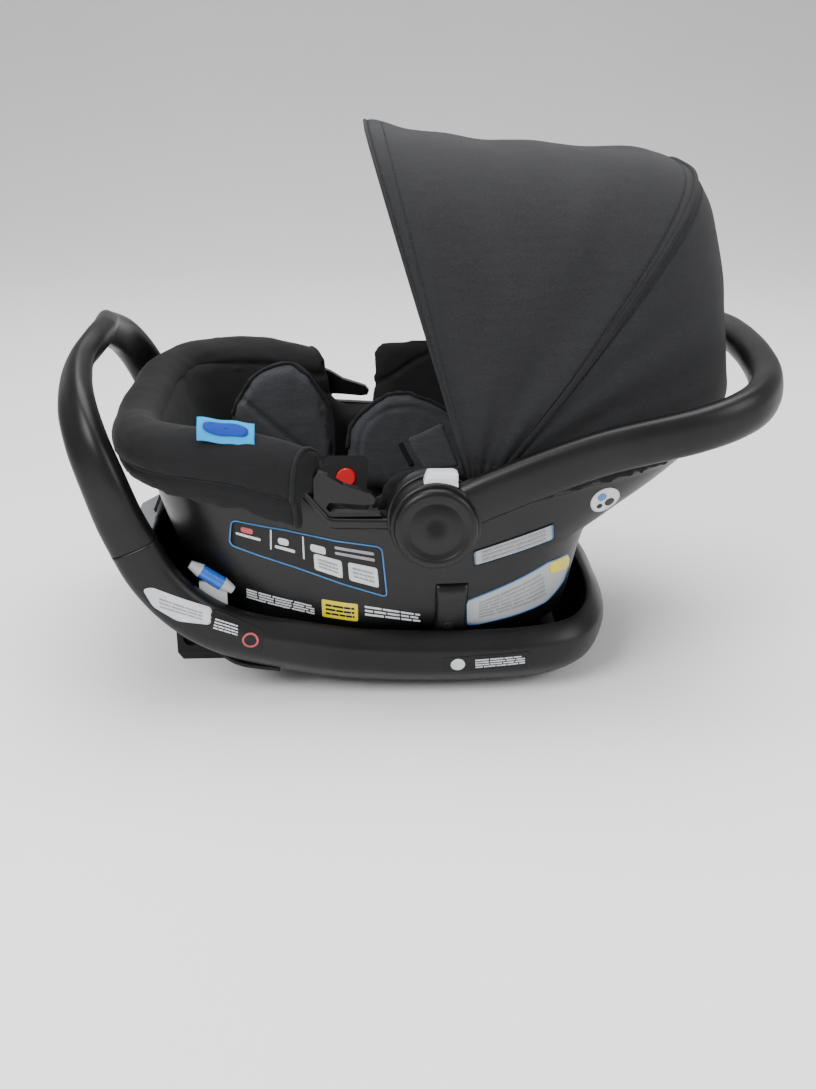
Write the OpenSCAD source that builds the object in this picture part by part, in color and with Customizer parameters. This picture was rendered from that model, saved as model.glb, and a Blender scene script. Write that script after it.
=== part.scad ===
// Rear-facing infant carrier clicked into its vehicle base, with an anti-rebound
// loop at the foot end and the carry handle turned back behind the canopy.
// X runs from the foot end to the head end, Y across, Z up, with Z = 0 where the
// base stands. Millimetres.

/* [Carrier shell] */
// Height of the shell's underside
shell_floor_z = 45; // [42:1:52]
// Thickness of the shell wall
shell_wall = 4; // [3:0.5:5]
// Half of the shell's width at the handle pivots
shell_half_width = 186; // [180:1:188]
// Height of the rim at the foot end
foot_rim_z = 266; // [255:1:272]
// Height of the rim at the head end
head_rim_z = 260; // [252:1:266]

/* [Handle] */
// Height of the handle pivot
pivot_z = 202; // [198:1:206]
// Radius of the pivot pins
pivot_r = 8; // [6:0.5:9]
// Radius of the round handle hubs
hub_r = 42; // [40:1:44]
// Running clearance on each round fit
fit = 0.06; // [0.02:0.01:0.1]
// Travel of the handle release buttons
button_travel = 4; // [3:0.5:5]

/* [Canopy] */
// Distance of the canopy pivot towards the head end
canopy_x = 40; // [34:1:46]
// Height of the canopy pivot
canopy_z = 214; // [210:1:218]
// Half width of the canopy above the pivot
canopy_half_width = 184; // [176:1:186]
// Thickness of the canopy cloth
cloth = 2.4; // [2:0.2:3]

/* [Vehicle base] */
// Half width of the base along the middle line of its sides
base_half_width = 160; // [156:1:164]
// Height of the deck that carries the seat
deck_z = 33; // [31:1:33]
// Travel of the recline foot
foot_travel = 24; // [10:1:24]

/* [Hidden] */

$fn = 48;
plastic = [0.06, 0.06, 0.065];
cloth_dark = [0.1, 0.1, 0.11];
cloth_grey = [0.24, 0.24, 0.26];
steel = [0.65, 0.66, 0.68];
ring_n = 72;      // points round a full ring of the shell
gap = 0.5;        // clearance between neighbouring pieces
layer_gap = 1.8;  // clearance between the shell, the foam and the cover
foam_t = 12;

// ---- shape functions -------------------------------------------------------

function ease(t) = t * t * (3 - 2 * t);

// Smooth value at x along knots [x, value]; a value may be a number or a vector
function along(x, knots, i = 0) =
    x <= knots[0][0] ? knots[0][1] :
    i >= len(knots) - 1 ? knots[len(knots) - 1][1] :
    x > knots[i + 1][0] ? along(x, knots, i + 1) :
    let (f = ease((x - knots[i][0]) / (knots[i + 1][0] - knots[i][0])))
    knots[i][1] * (1 - f) + knots[i + 1][1] * f;

// Straight-line value at x along knots [x, value]
function between(x, knots, i = 0) =
    x <= knots[0][0] ? knots[0][1] :
    i >= len(knots) - 1 ? knots[len(knots) - 1][1] :
    x > knots[i + 1][0] ? between(x, knots, i + 1) :
    let (f = (x - knots[i][0]) / (knots[i + 1][0] - knots[i][0]))
    knots[i][1] * (1 - f) + knots[i + 1][1] * f;

function centre(ring) = [for (k = [0:2]) [for (p = ring) p[k]] * [for (p = ring) 1] / len(ring)];
function unit(v) = v / norm(v);

// Distance from the centre to a superellipse with half axes a and b at angle u
function oval(u, a, b, n) = 1 / pow(pow(abs(cos(u)) / a, n) + pow(abs(sin(u)) / b, n), 1 / n);

// Point i of n on a rounded rectangle of half sizes a and b
function soft_rect(i, n, a, b, power = 4) =
    let (u = 360 * i / n, r = oval(u, a, b, power)) [r * cos(u), r * sin(u)];

// Catmull-Rom point between p1 and p2
function spline4(p0, p1, p2, p3, t) =
    0.5 * (2 * p1 + (p2 - p0) * t + (2 * p0 - 5 * p1 + 4 * p2 - p3) * t * t
           + (3 * p1 - p0 - 3 * p2 + p3) * t * t * t);

// Smooth path through points, with a number of steps per stretch
function smooth_path(pts, steps) = let (m = len(pts) - 1)
    [for (i = [0:m - 1], k = [0:steps - 1])
        spline4(pts[max(i - 1, 0)], pts[i], pts[i + 1], pts[min(i + 2, m)], k / steps),
     pts[m]];

// Closed solid through rings that all have the same number of points
module skin(rings) {
    n = len(rings[0]);
    m = len(rings);
    points = [for (r = rings) each r, centre(rings[0]), centre(rings[m - 1])];
    sides = [for (i = [0:m - 2], j = [0:n - 1])
        let (k = (j + 1) % n)
        each [[i * n + j, (i + 1) * n + j, (i + 1) * n + k],
              [i * n + j, (i + 1) * n + k, i * n + k]]];
    caps = [for (j = [0:n - 1])
        let (k = (j + 1) % n)
        each [[m * n, j, k], [m * n + 1, (m - 1) * n + k, (m - 1) * n + j]]];
    polyhedron(points, concat(sides, caps), convexity = 8);
}

// Closed sheet between two grids of points, outer[row][column] and inner alike.
// Seen from outside, rows run upwards and columns to the right
module sheet(outer, inner) {
    m = len(outer);
    n = len(outer[0]);
    far = m * n;
    points = [for (row = outer) each row, for (row = inner) each row];
    faces = [for (i = [0:m - 2], j = [0:n - 2])
        let (a = i * n + j, b = a + 1, c = a + n, d = c + 1)
        each [[a, c, d], [a, d, b], [far + a, far + d, far + c], [far + a, far + b, far + d]]];
    low = [for (j = [0:n - 2]) each [[j, j + 1, far + j + 1], [j, far + j + 1, far + j]]];
    top = [for (j = [0:n - 2]) let (a = (m - 1) * n + j)
        each [[a, far + a, far + a + 1], [a, far + a + 1, a + 1]]];
    left = [for (i = [0:m - 2]) let (a = i * n)
        each [[a, far + a, far + a + n], [a, far + a + n, a + n]]];
    right = [for (i = [0:m - 2]) let (a = i * n + n - 1)
        each [[a, a + n, far + a + n], [a, far + a + n, far + a]]];
    polyhedron(points, concat(faces, low, top, left, right), convexity = 8);
}

// Rings along a path: section(f) gives [across, up] points at fraction f, and
// side gives the across direction that each ring keeps as near to as it can
function swept(path, sections, sides) = [for (i = [0:len(path) - 1])
    let (m = len(path) - 1,
         t = unit(path[min(i + 1, m)] - path[max(i - 1, 0)]),
         s = unit(sides[i] - (sides[i] * t) * t),
         up = cross(s, t),
         last = len(sections[i]) - 1)
    [for (j = [last:-1:0]) path[i] + sections[i][j][0] * s + sections[i][j][1] * up]];

module both_sides() {
    children();
    mirror([0, 1, 0]) children();
}

// Plate with rounded corners, flat in its own XY plane
module round_plate(w, h, t, r) {
    linear_extrude(t) hull() for (x = [-1, 1], y = [-1, 1])
        translate([x * (w / 2 - r), y * (h / 2 - r)]) circle(r, $fn = 24);
}

// ---- carrier shell ---------------------------------------------------------

// Height fraction, half length to the head, half length to the foot, half width
shell_rows = [
    [0.00, [128, 186, 112]],
    [0.10, [149, 212, 146]],
    [0.28, [156, 236, 160]],
    [0.44, [163, 252, 167]],
    [0.57, [173, 262, 171]],
    [0.69, [208, 270, 175]],
    [0.82, [250, 277, 179]],
    [0.93, [277, 283, 183]],
    [1.00, [288, 288, 186]]];
// Height of the rim along the shell
rim_line = [[-292, foot_rim_z], [-150, foot_rim_z], [-96, 200], [-20, 198],
            [60, 216], [150, 236], [292, head_rim_z]];
foot_square = 4.4;
head_square = 3.0;

// Point of the shell at angle u, height fraction t, moved outwards and upwards
function shell_point(u, t, out = 0, lift = 0) =
    let (row = between(t, shell_rows),
         toward_head = cos(u) > 0,
         a = (toward_head ? row[0] : row[1]) + out,
         b = row[2] * shell_half_width / 186 + out,
         n = toward_head ? head_square : foot_square,
         top = shell_rows[len(shell_rows) - 1][1],
         top_a = toward_head ? top[0] : top[1],
         x_rim = cos(u) * oval(u, top_a, shell_half_width, n),
         r = oval(u, a, b, n),
         rim = between(x_rim, rim_line))
    [r * cos(u), r * sin(u), shell_floor_z + (rim - shell_floor_z) * t + lift];

function shell_ring(t, out = 0, lift = 0) =
    [for (i = [0:ring_n - 1]) shell_point(360 * i / ring_n, t, out, lift)];

boss_r = hub_r + 2;
boss_in = 172;
boss_out = 190.5;
outer_levels = [0, 0.1, 0.28, 0.44, 0.57, 0.69, 0.82, 0.93];
lip = 3;

module shell() color(plastic) {
    difference() {
        union() {
            skin(concat(
                [for (t = outer_levels) shell_ring(t)],
                [shell_ring(0.95, lip), shell_ring(1, lip), shell_ring(1, lip - 2, 2),
                 shell_ring(1, -shell_wall + 1, 2), shell_ring(1, -shell_wall)],
                [for (i = [len(outer_levels) - 1:-1:0])
                    shell_ring(outer_levels[i], -shell_wall, i == 0 ? shell_wall : 0)]));
            both_sides() across(boss_r, boss_in, boss_out);
            both_sides() for (x = bar_x)
                translate([x - 9, -40, bar_z - 3]) cube([18, 16, 12]);
        }
        both_sides() across(pivot_r, boss_in - 30, boss_out + 10);
        for (x = bar_x) translate([x, 0, bar_z]) rotate([90, 0, 0])
            cylinder(r = bar_r, h = 100, center = true);
        // notch where the canopy's bows turn beside the pivot boss
        both_sides() translate([canopy_x - 13, -181.5, canopy_z - 13]) cube([30, 40, 60]);
        release_room(0);
    }
}

// Energy-absorbing foam that lines the shell
module foam_liner() color([0.15, 0.15, 0.16]) {
    levels = [0.12, 0.28, 0.44, 0.57, 0.69, 0.82, 0.9];
    inner = -shell_wall - layer_gap;
    difference() {
        skin(concat(
            [for (t = levels) shell_ring(t, inner, t == levels[0] ? 2 : 0)],
            [for (i = [len(levels) - 1:-1:0])
                shell_ring(levels[i], inner - foam_t, i == 0 ? foam_t : 0)]));
        pivot_rooms();
        release_room(0);
        link_room();
        translate([-182, -30, 40]) cube([64, 60, 60]);
        translate([-96, -24, 40]) cube([34, 48, 60]);
    }
}

// ---- padded cover ----------------------------------------------------------

// How far the cover hangs down outside the rim
flap_line = [[-292, 62], [-122, 66], [-114, 5], [20, 5], [60, 8], [292, 10]];
// How far the cover bulges outwards from the shell
puff_line = [[-292, 15], [-122, 12], [-112, 1], [100, 1], [292, 4]];
// How far the cover stands above the rim
roll_line = [[-292, 13], [-122, 12], [-112, 3], [110, 3], [292, 6]];

function pad_x(i) = shell_point(360 * i / ring_n, 1)[0];

// Ring outside the rim that hangs down by a part of the flap's depth
function flap_ring(part, puff_part, lift = 0, roll_part = 0) = [for (i = [0:ring_n - 1])
    let (u = 360 * i / ring_n,
         x = pad_x(i),
         top = shell_point(u, 1, lip + gap + between(x, puff_line) * puff_part, lift))
    [top[0], top[1], top[2] - part * between(x, flap_line) + roll_part * between(x, roll_line)]];

// Ring on top of the rim, raised by a part of the cover's roll
function roll_ring(out, roll_part) = [for (i = [0:ring_n - 1])
    shell_point(360 * i / ring_n, 1, out, roll_part * between(pad_x(i), roll_line))];

module seat_pad() color(cloth_dark) {
    lining = -shell_wall - foam_t - 2 * layer_gap;
    levels = [0.2, 0.28, 0.44, 0.57, 0.69, 0.82, 0.9];
    difference() {
        skin(concat(
            [for (t = levels) t == levels[0] ? shell_ring(t, lining - 5, 3) : shell_ring(t, lining)],
            [shell_ring(0.93, -shell_wall - layer_gap),
             shell_ring(1, -shell_wall - layer_gap, 2 + gap),
             flap_ring(0, 0, 2 + gap), flap_ring(1, 0, 2 + gap),
             flap_ring(1, 0.7), flap_ring(0.5, 1), flap_ring(0, 0.9, 0, 0.35),
             flap_ring(0, 0.3, 0, 0.93), roll_ring(-shell_wall, 1), roll_ring(lining - 8, 0.15)],
            [for (i = [len(levels) - 1:-1:0])
                shell_ring(levels[i], lining - 9, i == 0 ? 12 : 0)]));
        // the rim is bare where the belt guides and the handle pivots stand
        both_sides() translate([-112, -240, 150]) cube([164, 65, 120]);
        pivot_rooms();
        // the crotch strap and the adjuster pass here
        translate([-96, -24, 40]) cube([34, 48, 80]);
        translate([-182, -30, 40]) cube([64, 60, 80]);
    }
}

// Space round the pivot bosses and the canopy's pegs
module pivot_rooms() both_sides() {
    across(boss_r + 1, boss_in - 6, boss_out + 10);
    translate([canopy_x - 12, -200, canopy_z - 30]) cube([28, 36, 60]);
}

// Padded wing standing on the near side: an outline in XZ that leans outwards
module wing(mid_x, half_len, z0, z1, y0, y1, thick, power) {
    n = 24;
    depths = [0, 0.25, 0.75, 1];
    sizes = [0.86, 1, 1, 0.86];
    mid_z = (z0 + z1) / 2;
    skin([for (k = [0:len(depths) - 1])
        [for (i = [0:n - 1])
            let (q = soft_rect(i, n, half_len * sizes[k], (z1 - z0) / 2 * sizes[k], power),
                 z = mid_z + q[1],
                 y = y0 + (y1 - y0) * (z - z0) / (z1 - z0) + thick * (depths[k] - 0.5))
            [mid_x + q[0], -y, z]]]);
}

// Flat pad on the seat between the wings
module seat_slab(x0, x1, half_w, z0, z1, thick) {
    translate([(x0 + x1) / 2, 0, (z0 + z1) / 2]) rotate([0, -atan((z1 - z0) / (x1 - x0)), 0])
        round_plate(norm([x1 - x0, z1 - z0]), 2 * half_w, thick, 30);
}

// Grey insert beside the legs
module seat_insert() color(cloth_grey) {
    both_sides() wing(-150, 57, 112, 262, 100, 122, 20, 2.6);
    difference() {
        seat_slab(-194, -100, 106, 112, 108, 14);
        translate([-110, -30, 90]) cube([60, 60, 60]);
    }
}

// Grey insert beside and behind the body
module body_insert() color(cloth_grey) {
    both_sides() wing(2, 78, 112, 224, 104, 128, 20, 2.4);
    difference() {
        seat_slab(-62, 96, 108, 102, 150, 14);
        both_sides() translate([50, -44, 90]) cube([22, 28, 120]);
    }
}

module seat_tag() color([0.2, 0.6, 0.85])
    translate([-186, -183, 288]) rotate([58, 0, 0]) round_plate(58, 20, 1.6, 3);

// ---- handle pivots ---------------------------------------------------------

hub_in = 191;
hub_out = 213;
cap_out = 221;

// Cylinder whose axis runs across the seat, from y0 outwards to y1 on the near side
module across(r, y0, y1) translate([0, -y0, pivot_z]) rotate([90, 0, 0]) cylinder(r = r, h = y1 - y0);

module pivot_pin() color(steel) {
    across(pivot_r, boss_in, hub_out - 0.2);
    across(pivot_r + 4, boss_in - 4, boss_in);
}
module pivot_pin_near() pivot_pin();
module pivot_pin_far() mirror([0, 1, 0]) pivot_pin();

// ---- carry handle ----------------------------------------------------------

// Centre line of the near arm and half of the cross bar
arm_line = [[14, -202, 211], [57, -203, 232], [147, -202, 266], [238, -197, 286],
            [284, -180, 297], [310, -148, 304], [323, -104, 311], [327, -52, 317]];
// Half width and half height of the section along the arm
arm_size = [[0, [10.5, 22]], [0.15, [10.5, 22]], [0.3, [11, 21]], [0.6, [14, 21]],
            [0.75, [16.5, 16.5]], [1, [16, 15.5]]];
disc_r = 27;
disc_in = 192;
disc_t = 6;

module handle_tube() color(plastic) {
    half_path = concat(arm_line, [[328, 0, 319]]);
    near = smooth_path(half_path, 4);
    path = concat(near, [for (i = [len(near) - 2:-1:0]) [near[i][0], -near[i][1], near[i][2]]]);
    m = len(path) - 1;
    n = 16;
    sections = [for (i = [0:m])
        let (f = 1 - abs(2 * i / m - 1), h = along(f, arm_size))
        [for (j = [0:n - 1]) soft_rect(j, n, h[0], h[1], 2.8)]];
    sides = [for (i = [0:m])
        let (u = 180 * i / m) [sin(u), -cos(u), 0.18 * sin(u)]];
    difference() {
        union() {
            skin(swept(path, sections, sides));
            both_sides() across(hub_r, hub_in, hub_out);
        }
        both_sides() {
            across(pivot_r + fit, hub_in - 1, hub_out + 1);
            across(disc_r + 0.5, hub_in - 1, disc_in + disc_t + button_travel + 1.5);
            button_room();
        }
    }
}

button_w = 33;
button_y = 16;
button_top = 253;
button_low = 236;
room_depth = 6.4;
module button_room() translate([-12.5, -(hub_in + 3 + button_y) - 0.4, button_low - room_depth])
    cube([button_w + 1, button_y + 0.8, 60]);

module handle_button() color([0.8, 0.8, 0.82]) {
    x0 = -12;
    y0 = -(hub_in + 3 + button_y);
    hull() {
        translate([x0 + 1, y0 + 1, button_low]) cube([button_w - 2, button_y - 2, 6]);
        for (x = [x0 + 7, x0 + button_w - 7], y = [y0 + 5, y0 + button_y - 5])
            translate([x, y, button_top - 5]) cylinder(r1 = 5, r2 = 3, h = 5, $fn = 24);
    }
}
module handle_button_near() handle_button();
module handle_button_far() mirror([0, 1, 0]) handle_button();

module button_spring() color(steel)
    translate([4.5, -(hub_in + 3 + button_y / 2), button_low - room_depth + 0.2]) difference() {
        cylinder(r = 4, h = room_depth - 0.4);
        translate([0, 0, -1]) cylinder(r = 2.8, h = 10);
    }
module button_spring_near() button_spring();
module button_spring_far() mirror([0, 1, 0]) button_spring();

module lock_disc() color(steel) difference() {
    union() {
        across(disc_r - 4, disc_in, disc_in + disc_t);
        for (k = [0:7]) translate([0, 0, pivot_z]) rotate([0, 45 * k, 0])
            translate([disc_r - 6, -disc_in - disc_t, -3]) cube([5.6, disc_t, 6]);
    }
    across(pivot_r + fit, disc_in - 1, disc_in + disc_t + 1);
}
module lock_disc_near() lock_disc();
module lock_disc_far() mirror([0, 1, 0]) lock_disc();

// Dished cover of the hub with a raised rim and an inner ring line
module hub_cap() color(plastic) translate([0, -hub_out - 0.3, pivot_z]) rotate([90, 0, 0])
    rotate_extrude() polygon([[0, 0], [38.5, 0], [38.5, 3], [36.5, 6.4], [34, 7.6],
                              [31, 7.2], [29.6, 5.8], [26, 5.2], [24.6, 4.6], [23, 5.2], [0, 6]]);
module hub_cap_near() hub_cap();
module hub_cap_far() mirror([0, 1, 0]) hub_cap();

// ---- canopy ----------------------------------------------------------------

// Direction from the pivot in degrees and distance to the top of the canopy
canopy_rows = [[17, 274], [20, 278], [22, 281], [27, 289], [32, 299], [38, 314], [44, 331],
               [49, 346], [53, 354], [57.5, 346], [66, 325], [75, 311], [85, 304],
               [96, 311], [107, 335]];
front_angle = 107;
rear_angle = 54;

// Point of the canopy at direction a and fraction w from the near to the far side
function canopy_point(a, w, out = 0) =
    let (top = between(a, canopy_rows) + out,
         square = between(a, [[17, 3], [50, 2.9], [107, 3.4]]),
         v = 7 + 166 * w,
         r = oval(v, canopy_half_width + out, top, square),
         d = r * sin(v))
    [canopy_x + d * cos(a), -r * cos(v), canopy_z + d * sin(a)];

module canopy_fabric() color(cloth_dark) {
    n = 30;
    angles = [for (k = [0:len(canopy_rows) - 1]) canopy_rows[k][0]];
    sheet([for (a = angles) [for (j = [0:n]) canopy_point(a, j / n)]],
          [for (a = angles) [for (j = [0:n]) canopy_point(a, j / n, -cloth)]]);
}

// Flat strip bent into an arch at direction a, a distance inside the cloth
module bow(a, width, inset, hub) {
    n = 40;
    thick = 3;
    skin([for (j = [0:n]) let (w = j / n,
        o = canopy_point(a, w, -inset), i = canopy_point(a, w, -inset - thick),
        t = [-sin(a), 0, cos(a)] * width / 2)
        [i - t, i + t, o + t, o - t]]);
    both_sides() translate([canopy_x, inset + thick / 2 + 0.5 - canopy_half_width, canopy_z])
        rotate([90, 0, 0]) difference() {
            union() {
                cylinder(r = hub, h = 4, center = true);
                rotate([0, 0, a]) translate([0, -width / 2 + 0.2, -2])
                    cube([24, width - 0.4, 4]);
            }
            cylinder(r = socket_r + fit, h = 10, center = true);
        }
}
socket_r = 3;
front_inset = 9.2;
rear_inset = cloth + 2.4;

module canopy_front_bow() color(plastic) bow(front_angle - 1.4, 9, front_inset, 10);
module canopy_rear_bow() color(plastic) bow(rear_angle, 8, rear_inset, 8);

// Peg that both bows turn on, on a foot that clips inside the shell
module canopy_socket() color(plastic)
    translate([canopy_x, 13.8 - canopy_half_width, canopy_z]) rotate([90, 0, 0]) {
        cylinder(r = socket_r, h = 13.8);
        translate([0, 0, -2.6]) cylinder(r = 9, h = 2.6);
        translate([-8, -26, -2.6]) cube([16, 24, 2.6]);
    }
module canopy_socket_near() canopy_socket();
module canopy_socket_far() mirror([0, 1, 0]) canopy_socket();

// ---- belt guides -----------------------------------------------------------

// Open hook that rises from the rim and points to the head end
module belt_guide() color(plastic) translate([0, -176, 0]) rotate([90, 0, 0]) {
    linear_extrude(9) polygon([[-111, 203], [-111, 240], [-107, 247], [-98, 243], [-84, 234],
        [-66, 228], [-58, 225], [-54, 220], [-56, 215], [-64, 214], [-82, 216], [-97, 217],
        [-100, 212], [-97, 208], [-50, 205], [-48, 203]]);
}
module belt_guide_near() belt_guide();
module belt_guide_far() mirror([0, 1, 0]) belt_guide();

// ---- harness ---------------------------------------------------------------

strap_w = 38;
strap_t = 1.8;

// Flat webbing along a path in the XZ plane, centred on y
module webbing(path, y, w, thick = strap_t) {
    m = len(path) - 1;
    skin([for (i = [0:m])
        let (t = unit(path[min(i + 1, m)] - path[max(i - 1, 0)]), up = [-t[1], t[0]])
        [for (c = [[-1, -1], [1, -1], [1, 1], [-1, 1]])
            let (q = path[i] + up * c[1] * thick / 2) [q[0], y + c[0] * w / 2, q[1]]]]);
}

shoulder_path = [[62, 128], [61, 146], [54, 160], [40, 164], [24, 158], [0, 146], [-28, 138],
                 [-54, 134]];
shoulder_y = 30;
module harness_straps() color([0.05, 0.05, 0.05])
    both_sides() webbing(shoulder_path, -shoulder_y, 24);

module crotch_strap() color([0.05, 0.05, 0.05])
    webbing([[-79, 50], [-79, 84], [-80, 106], [-82, 124]], 0, strap_w);

buckle_tilt = -20;
// Frame of the buckle, its face looking up and to the near side
module buckle_place() translate([-82, 0, 130]) rotate([buckle_tilt, 0, 0]) rotate([0, 0, -90]) children();
module tongue(grow) translate([-2, 7 - grow, 3 - grow]) cube([29, 18 + 2 * grow, 3 + 2 * grow]);

module buckle_tongues() color(steel) buckle_place() both_sides() tongue(0);

module chest_clip() color(plastic)
    translate([8, 0, 153.2]) rotate([0, -27, 0]) round_plate(34, 96, 7, 5);

module buckle_housing() color(plastic) buckle_place() difference() {
    hull() for (y = [-1, 1]) {
        translate([-9, y * 15, 2]) rotate([0, 90, 0]) cylinder(r = 5, h = 18, $fn = 32);
        translate([-9, y * 16, 58]) rotate([0, 90, 0]) cylinder(r = 8, h = 18, $fn = 32);
    }
    both_sides() tongue(0.4);
    translate([-1, 0, 42]) rotate([0, 90, 0]) cylinder(r = 11.4, h = 20);
}

module buckle_button() color([0.75, 0.05, 0.05]) buckle_place()
    translate([4, 0, 42]) rotate([0, 90, 0]) {
        cylinder(r = 11, h = 4);
        translate([0, 0, 4]) cylinder(r1 = 11, r2 = 9, h = 2);
    }

module splitter_plate() color(steel)
    translate([162, 0, 118]) rotate([0, 102, 0]) difference() {
        round_plate(44, 60, 3, 6);
        for (y = [-17, 17]) translate([6, y, -1]) round_plate(6, 24, 6, 2.5);
        translate([-12, 0, -1]) round_plate(6, 30, 6, 2.5);
    }

adjuster_at = [-150, 0, 49.5];
module adjuster_housing() color(plastic) translate(adjuster_at) difference() {
    translate([-21, -25, 0]) cube([42, 50, 10]);
    translate([-15.4, -14.4, 4]) cube([28.8, 28.8, 8]);
}
module adjuster_button() color([0.3, 0.3, 0.32])
    translate(adjuster_at) translate([-1, 0, 8.2]) round_plate(28, 28, 3.6, 3);

// ---- carrier latch ---------------------------------------------------------

bar_x = [-120, 104];
bar_z = 39;
bar_r = 5;
module latch_bars() color(steel) for (x = bar_x)
    translate([x, 0, bar_z]) rotate([90, 0, 0]) cylinder(r = bar_r, h = 150, center = true);

// Frame of the release handle, lying along the slope of the shell's back
handle_slope = 31;
module release_place() translate([212, 0, 197]) rotate([0, -handle_slope, 0]) children();
module release_room(extra) release_place() translate([-30, -46, -14]) cube([60, 92, 24 + extra]);

module release_handle() color(plastic) release_place() difference() {
    translate([-26, -42, -3]) cube([52, 84, 7]);
    translate([-6, -30, -5]) cube([22, 60, 12]);
}

// Flat rods that run down inside the shell from the release handle to the latch
link_y = 34;
link_levels = [0.2, 0.28, 0.36, 0.44, 0.5, 0.57, 0.63];
link_path = [for (t = link_levels) let (q = shell_point(0, t, -9)) [q[0], q[2]]];
module latch_links() color(steel) both_sides() webbing(link_path, -link_y, 8, 4);
module link_room() both_sides() webbing(
    concat([[link_path[0][0] - 3, link_path[0][1] - 14]], link_path, [[200, 186]]), -link_y, 11, 17);

// ---- labels: plain panels with no lettering --------------------------------

// Distance of the shell's side from the middle at x and height z
function side_y(x, z) =
    let (t = (z - shell_floor_z) / (between(x, rim_line) - shell_floor_z),
         row = between(t, shell_rows),
         a = x > 0 ? row[0] : row[1],
         n = x > 0 ? head_square : foot_square)
    row[2] * shell_half_width / 186 * pow(1 - pow(min(abs(x) / a, 0.98), n), 1 / n);

// Thin panel on the near side between two edges, each from [x, low z, high z]
module side_panel(left, right, out = 0.5, thick = 0.8) {
    across_n = 8;
    up_n = 4;
    edges = [for (i = [0:across_n]) left * (1 - i / across_n) + right * (i / across_n)];
    sheet([for (k = [0:up_n]) [for (e = edges) panel_point(e, k / up_n, out + thick)]],
          [for (k = [0:up_n]) [for (e = edges) panel_point(e, k / up_n, out)]]);
}
function panel_point(e, f, out) = let (z = e[1] + (e[2] - e[1]) * f) [e[0], -side_y(e[0], z) - out, z];

module shell_labels() color([0.78, 0.8, 0.82]) {
    side_panel([-192, 166, 195], [-46, 113, 168]);
    side_panel([38, 145, 162], [117, 166, 188]);
    side_panel([34, 75, 104], [130, 88, 138]);
    side_panel([-107, 87, 108], [-72, 83, 104]);
}

// ---- vehicle base ----------------------------------------------------------

// Centre line of the near side member, from the bar joint to the head end
side_line = [[-281, -172, 172], [-267, -170, 141], [-243, -168, 109], [-208, -165, 80],
             [-160, -base_half_width - 2, 57], [-100, -base_half_width, 42],
             [-40, -base_half_width, 36], [30, -base_half_width, 34],
             [100, -156, 35], [140, -142, 37], [160, -110, 39], [168, -60, 40], [169, 0, 40]];

// Section as [outwards, upwards] points: a rounded bar at the joint that opens
// into the low side of the base
low_section = [[19, 22], [14, 31], [8, 37], [4, 39], [0, 37], [-2, 30], [-5, 12], [-8, -6],
               [-20, -18], [-34, -26], [-31, -29], [-22, -29], [-12, -25], [2, -15], [12, -5], [17, 8]];
// 0 keeps the bar's section, 1 the base's
open_line = [[-282, 0], [-244, 0.05], [-120, 1]];

function bar_point(j) = let (u = 22.5 * j + 22, r = oval(u, 15, 23, 3)) [r * cos(u), r * sin(u)];

module side_member() {
    near = smooth_path(side_line, 3);
    path = concat(near, [for (i = [len(near) - 2:-1:0]) [near[i][0], -near[i][1], near[i][2]]]);
    m = len(path) - 1;
    sections = [for (i = [0:m])
        let (f = along(path[i][0], open_line))
        [for (j = [0:15]) bar_point(j) * (1 - f) + low_section[j] * f]];
    sides = [for (i = [0:m])
        let (k = min(i, m - i), y = path[i][1], x = path[i][0])
        x < 110 ? [0, sign(y), 0] : unit([(x - 96) / 50, y / 90, 0])];
    skin(swept(path, sections, sides));
}

// Slanted panel between the two side arms at the foot end
panel_line = [[-277, 152], [-262, 124], [-240, 97], [-225, 73], [-207, 50], [-187, 37],
              [-150, 31]];
panel_t = 5;

module base_shell() color(plastic) {
    difference() {
        side_member();
        both_sides() tenon(0.1);
    }
    translate([0, 0, deck_z - 4]) linear_extrude(4)
        polygon([[-156, -152], [130, -150], [160, -110], [160, 110], [130, 150], [-156, 152]]);
    rotate([90, 0, 0]) linear_extrude(320, center = true) polygon(concat(panel_line,
        [for (i = [len(panel_line) - 1:-1:0]) panel_line[i] + [panel_t * 0.6, panel_t]]));
}

// Underside plate: a shallow tray screwed to the base
module base_pan() color(plastic) difference() {
    hull() {
        translate([-76, -104, 0]) cube([190, 208, 1]);
        translate([-92, -116, deck_z - 6]) cube([214, 232, 1]);
    }
    translate([-72, -100, 4]) cube([182, 200, 40]);
}

// Closed loop that stands at the foot end
bar_line = [[-281.4, -172, 173], [-292, -174, 200], [-304, -174, 238], [-317, -163, 271],
            [-328, -138, 297], [-334, -105, 312], [-335, -70, 323], [-328, -35, 332]];
module rebound_bar() color(plastic) {
    near = smooth_path(concat(bar_line, [[-324, 0, 335]]), 3);
    path = concat(near, [for (i = [len(near) - 2:-1:0]) [near[i][0], -near[i][1], near[i][2]]]);
    m = len(path) - 1;
    n = 16;
    sections = [for (i = [0:m])
        let (f = 1 - abs(2 * i / m - 1))
        [for (j = [0:n - 1]) let (b = between(f, [[0, 15], [0.5, 13], [1, 11.5]]),
                                  h = between(f, [[0, 23], [0.5, 20], [1, 16]]))
            let (u = 22.5 * j + 22, r = oval(u, b, h, 3)) [r * cos(u), r * sin(u)]]];
    sides = [for (i = [0:m]) let (u = 180 * i / m) unit([-sin(u) * 0.8, -cos(u), 0.35 * sin(u)])];
    difference() {
        skin(swept(path, sections, sides));
        both_sides() tenon(0.1);
    }
}

// Frame at the near joint between the loop and the base, Z along the arm
module joint_place() translate([-281, -172, 172]) rotate([0, -22, 0]) children();
module tenon(grow) joint_place()
    translate([-7 - grow, -5 - grow, -20 - grow]) cube([14, 10, 40] + [2, 2, 2] * grow);

module bar_tenons() color(steel) both_sides() tenon(0);

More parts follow.
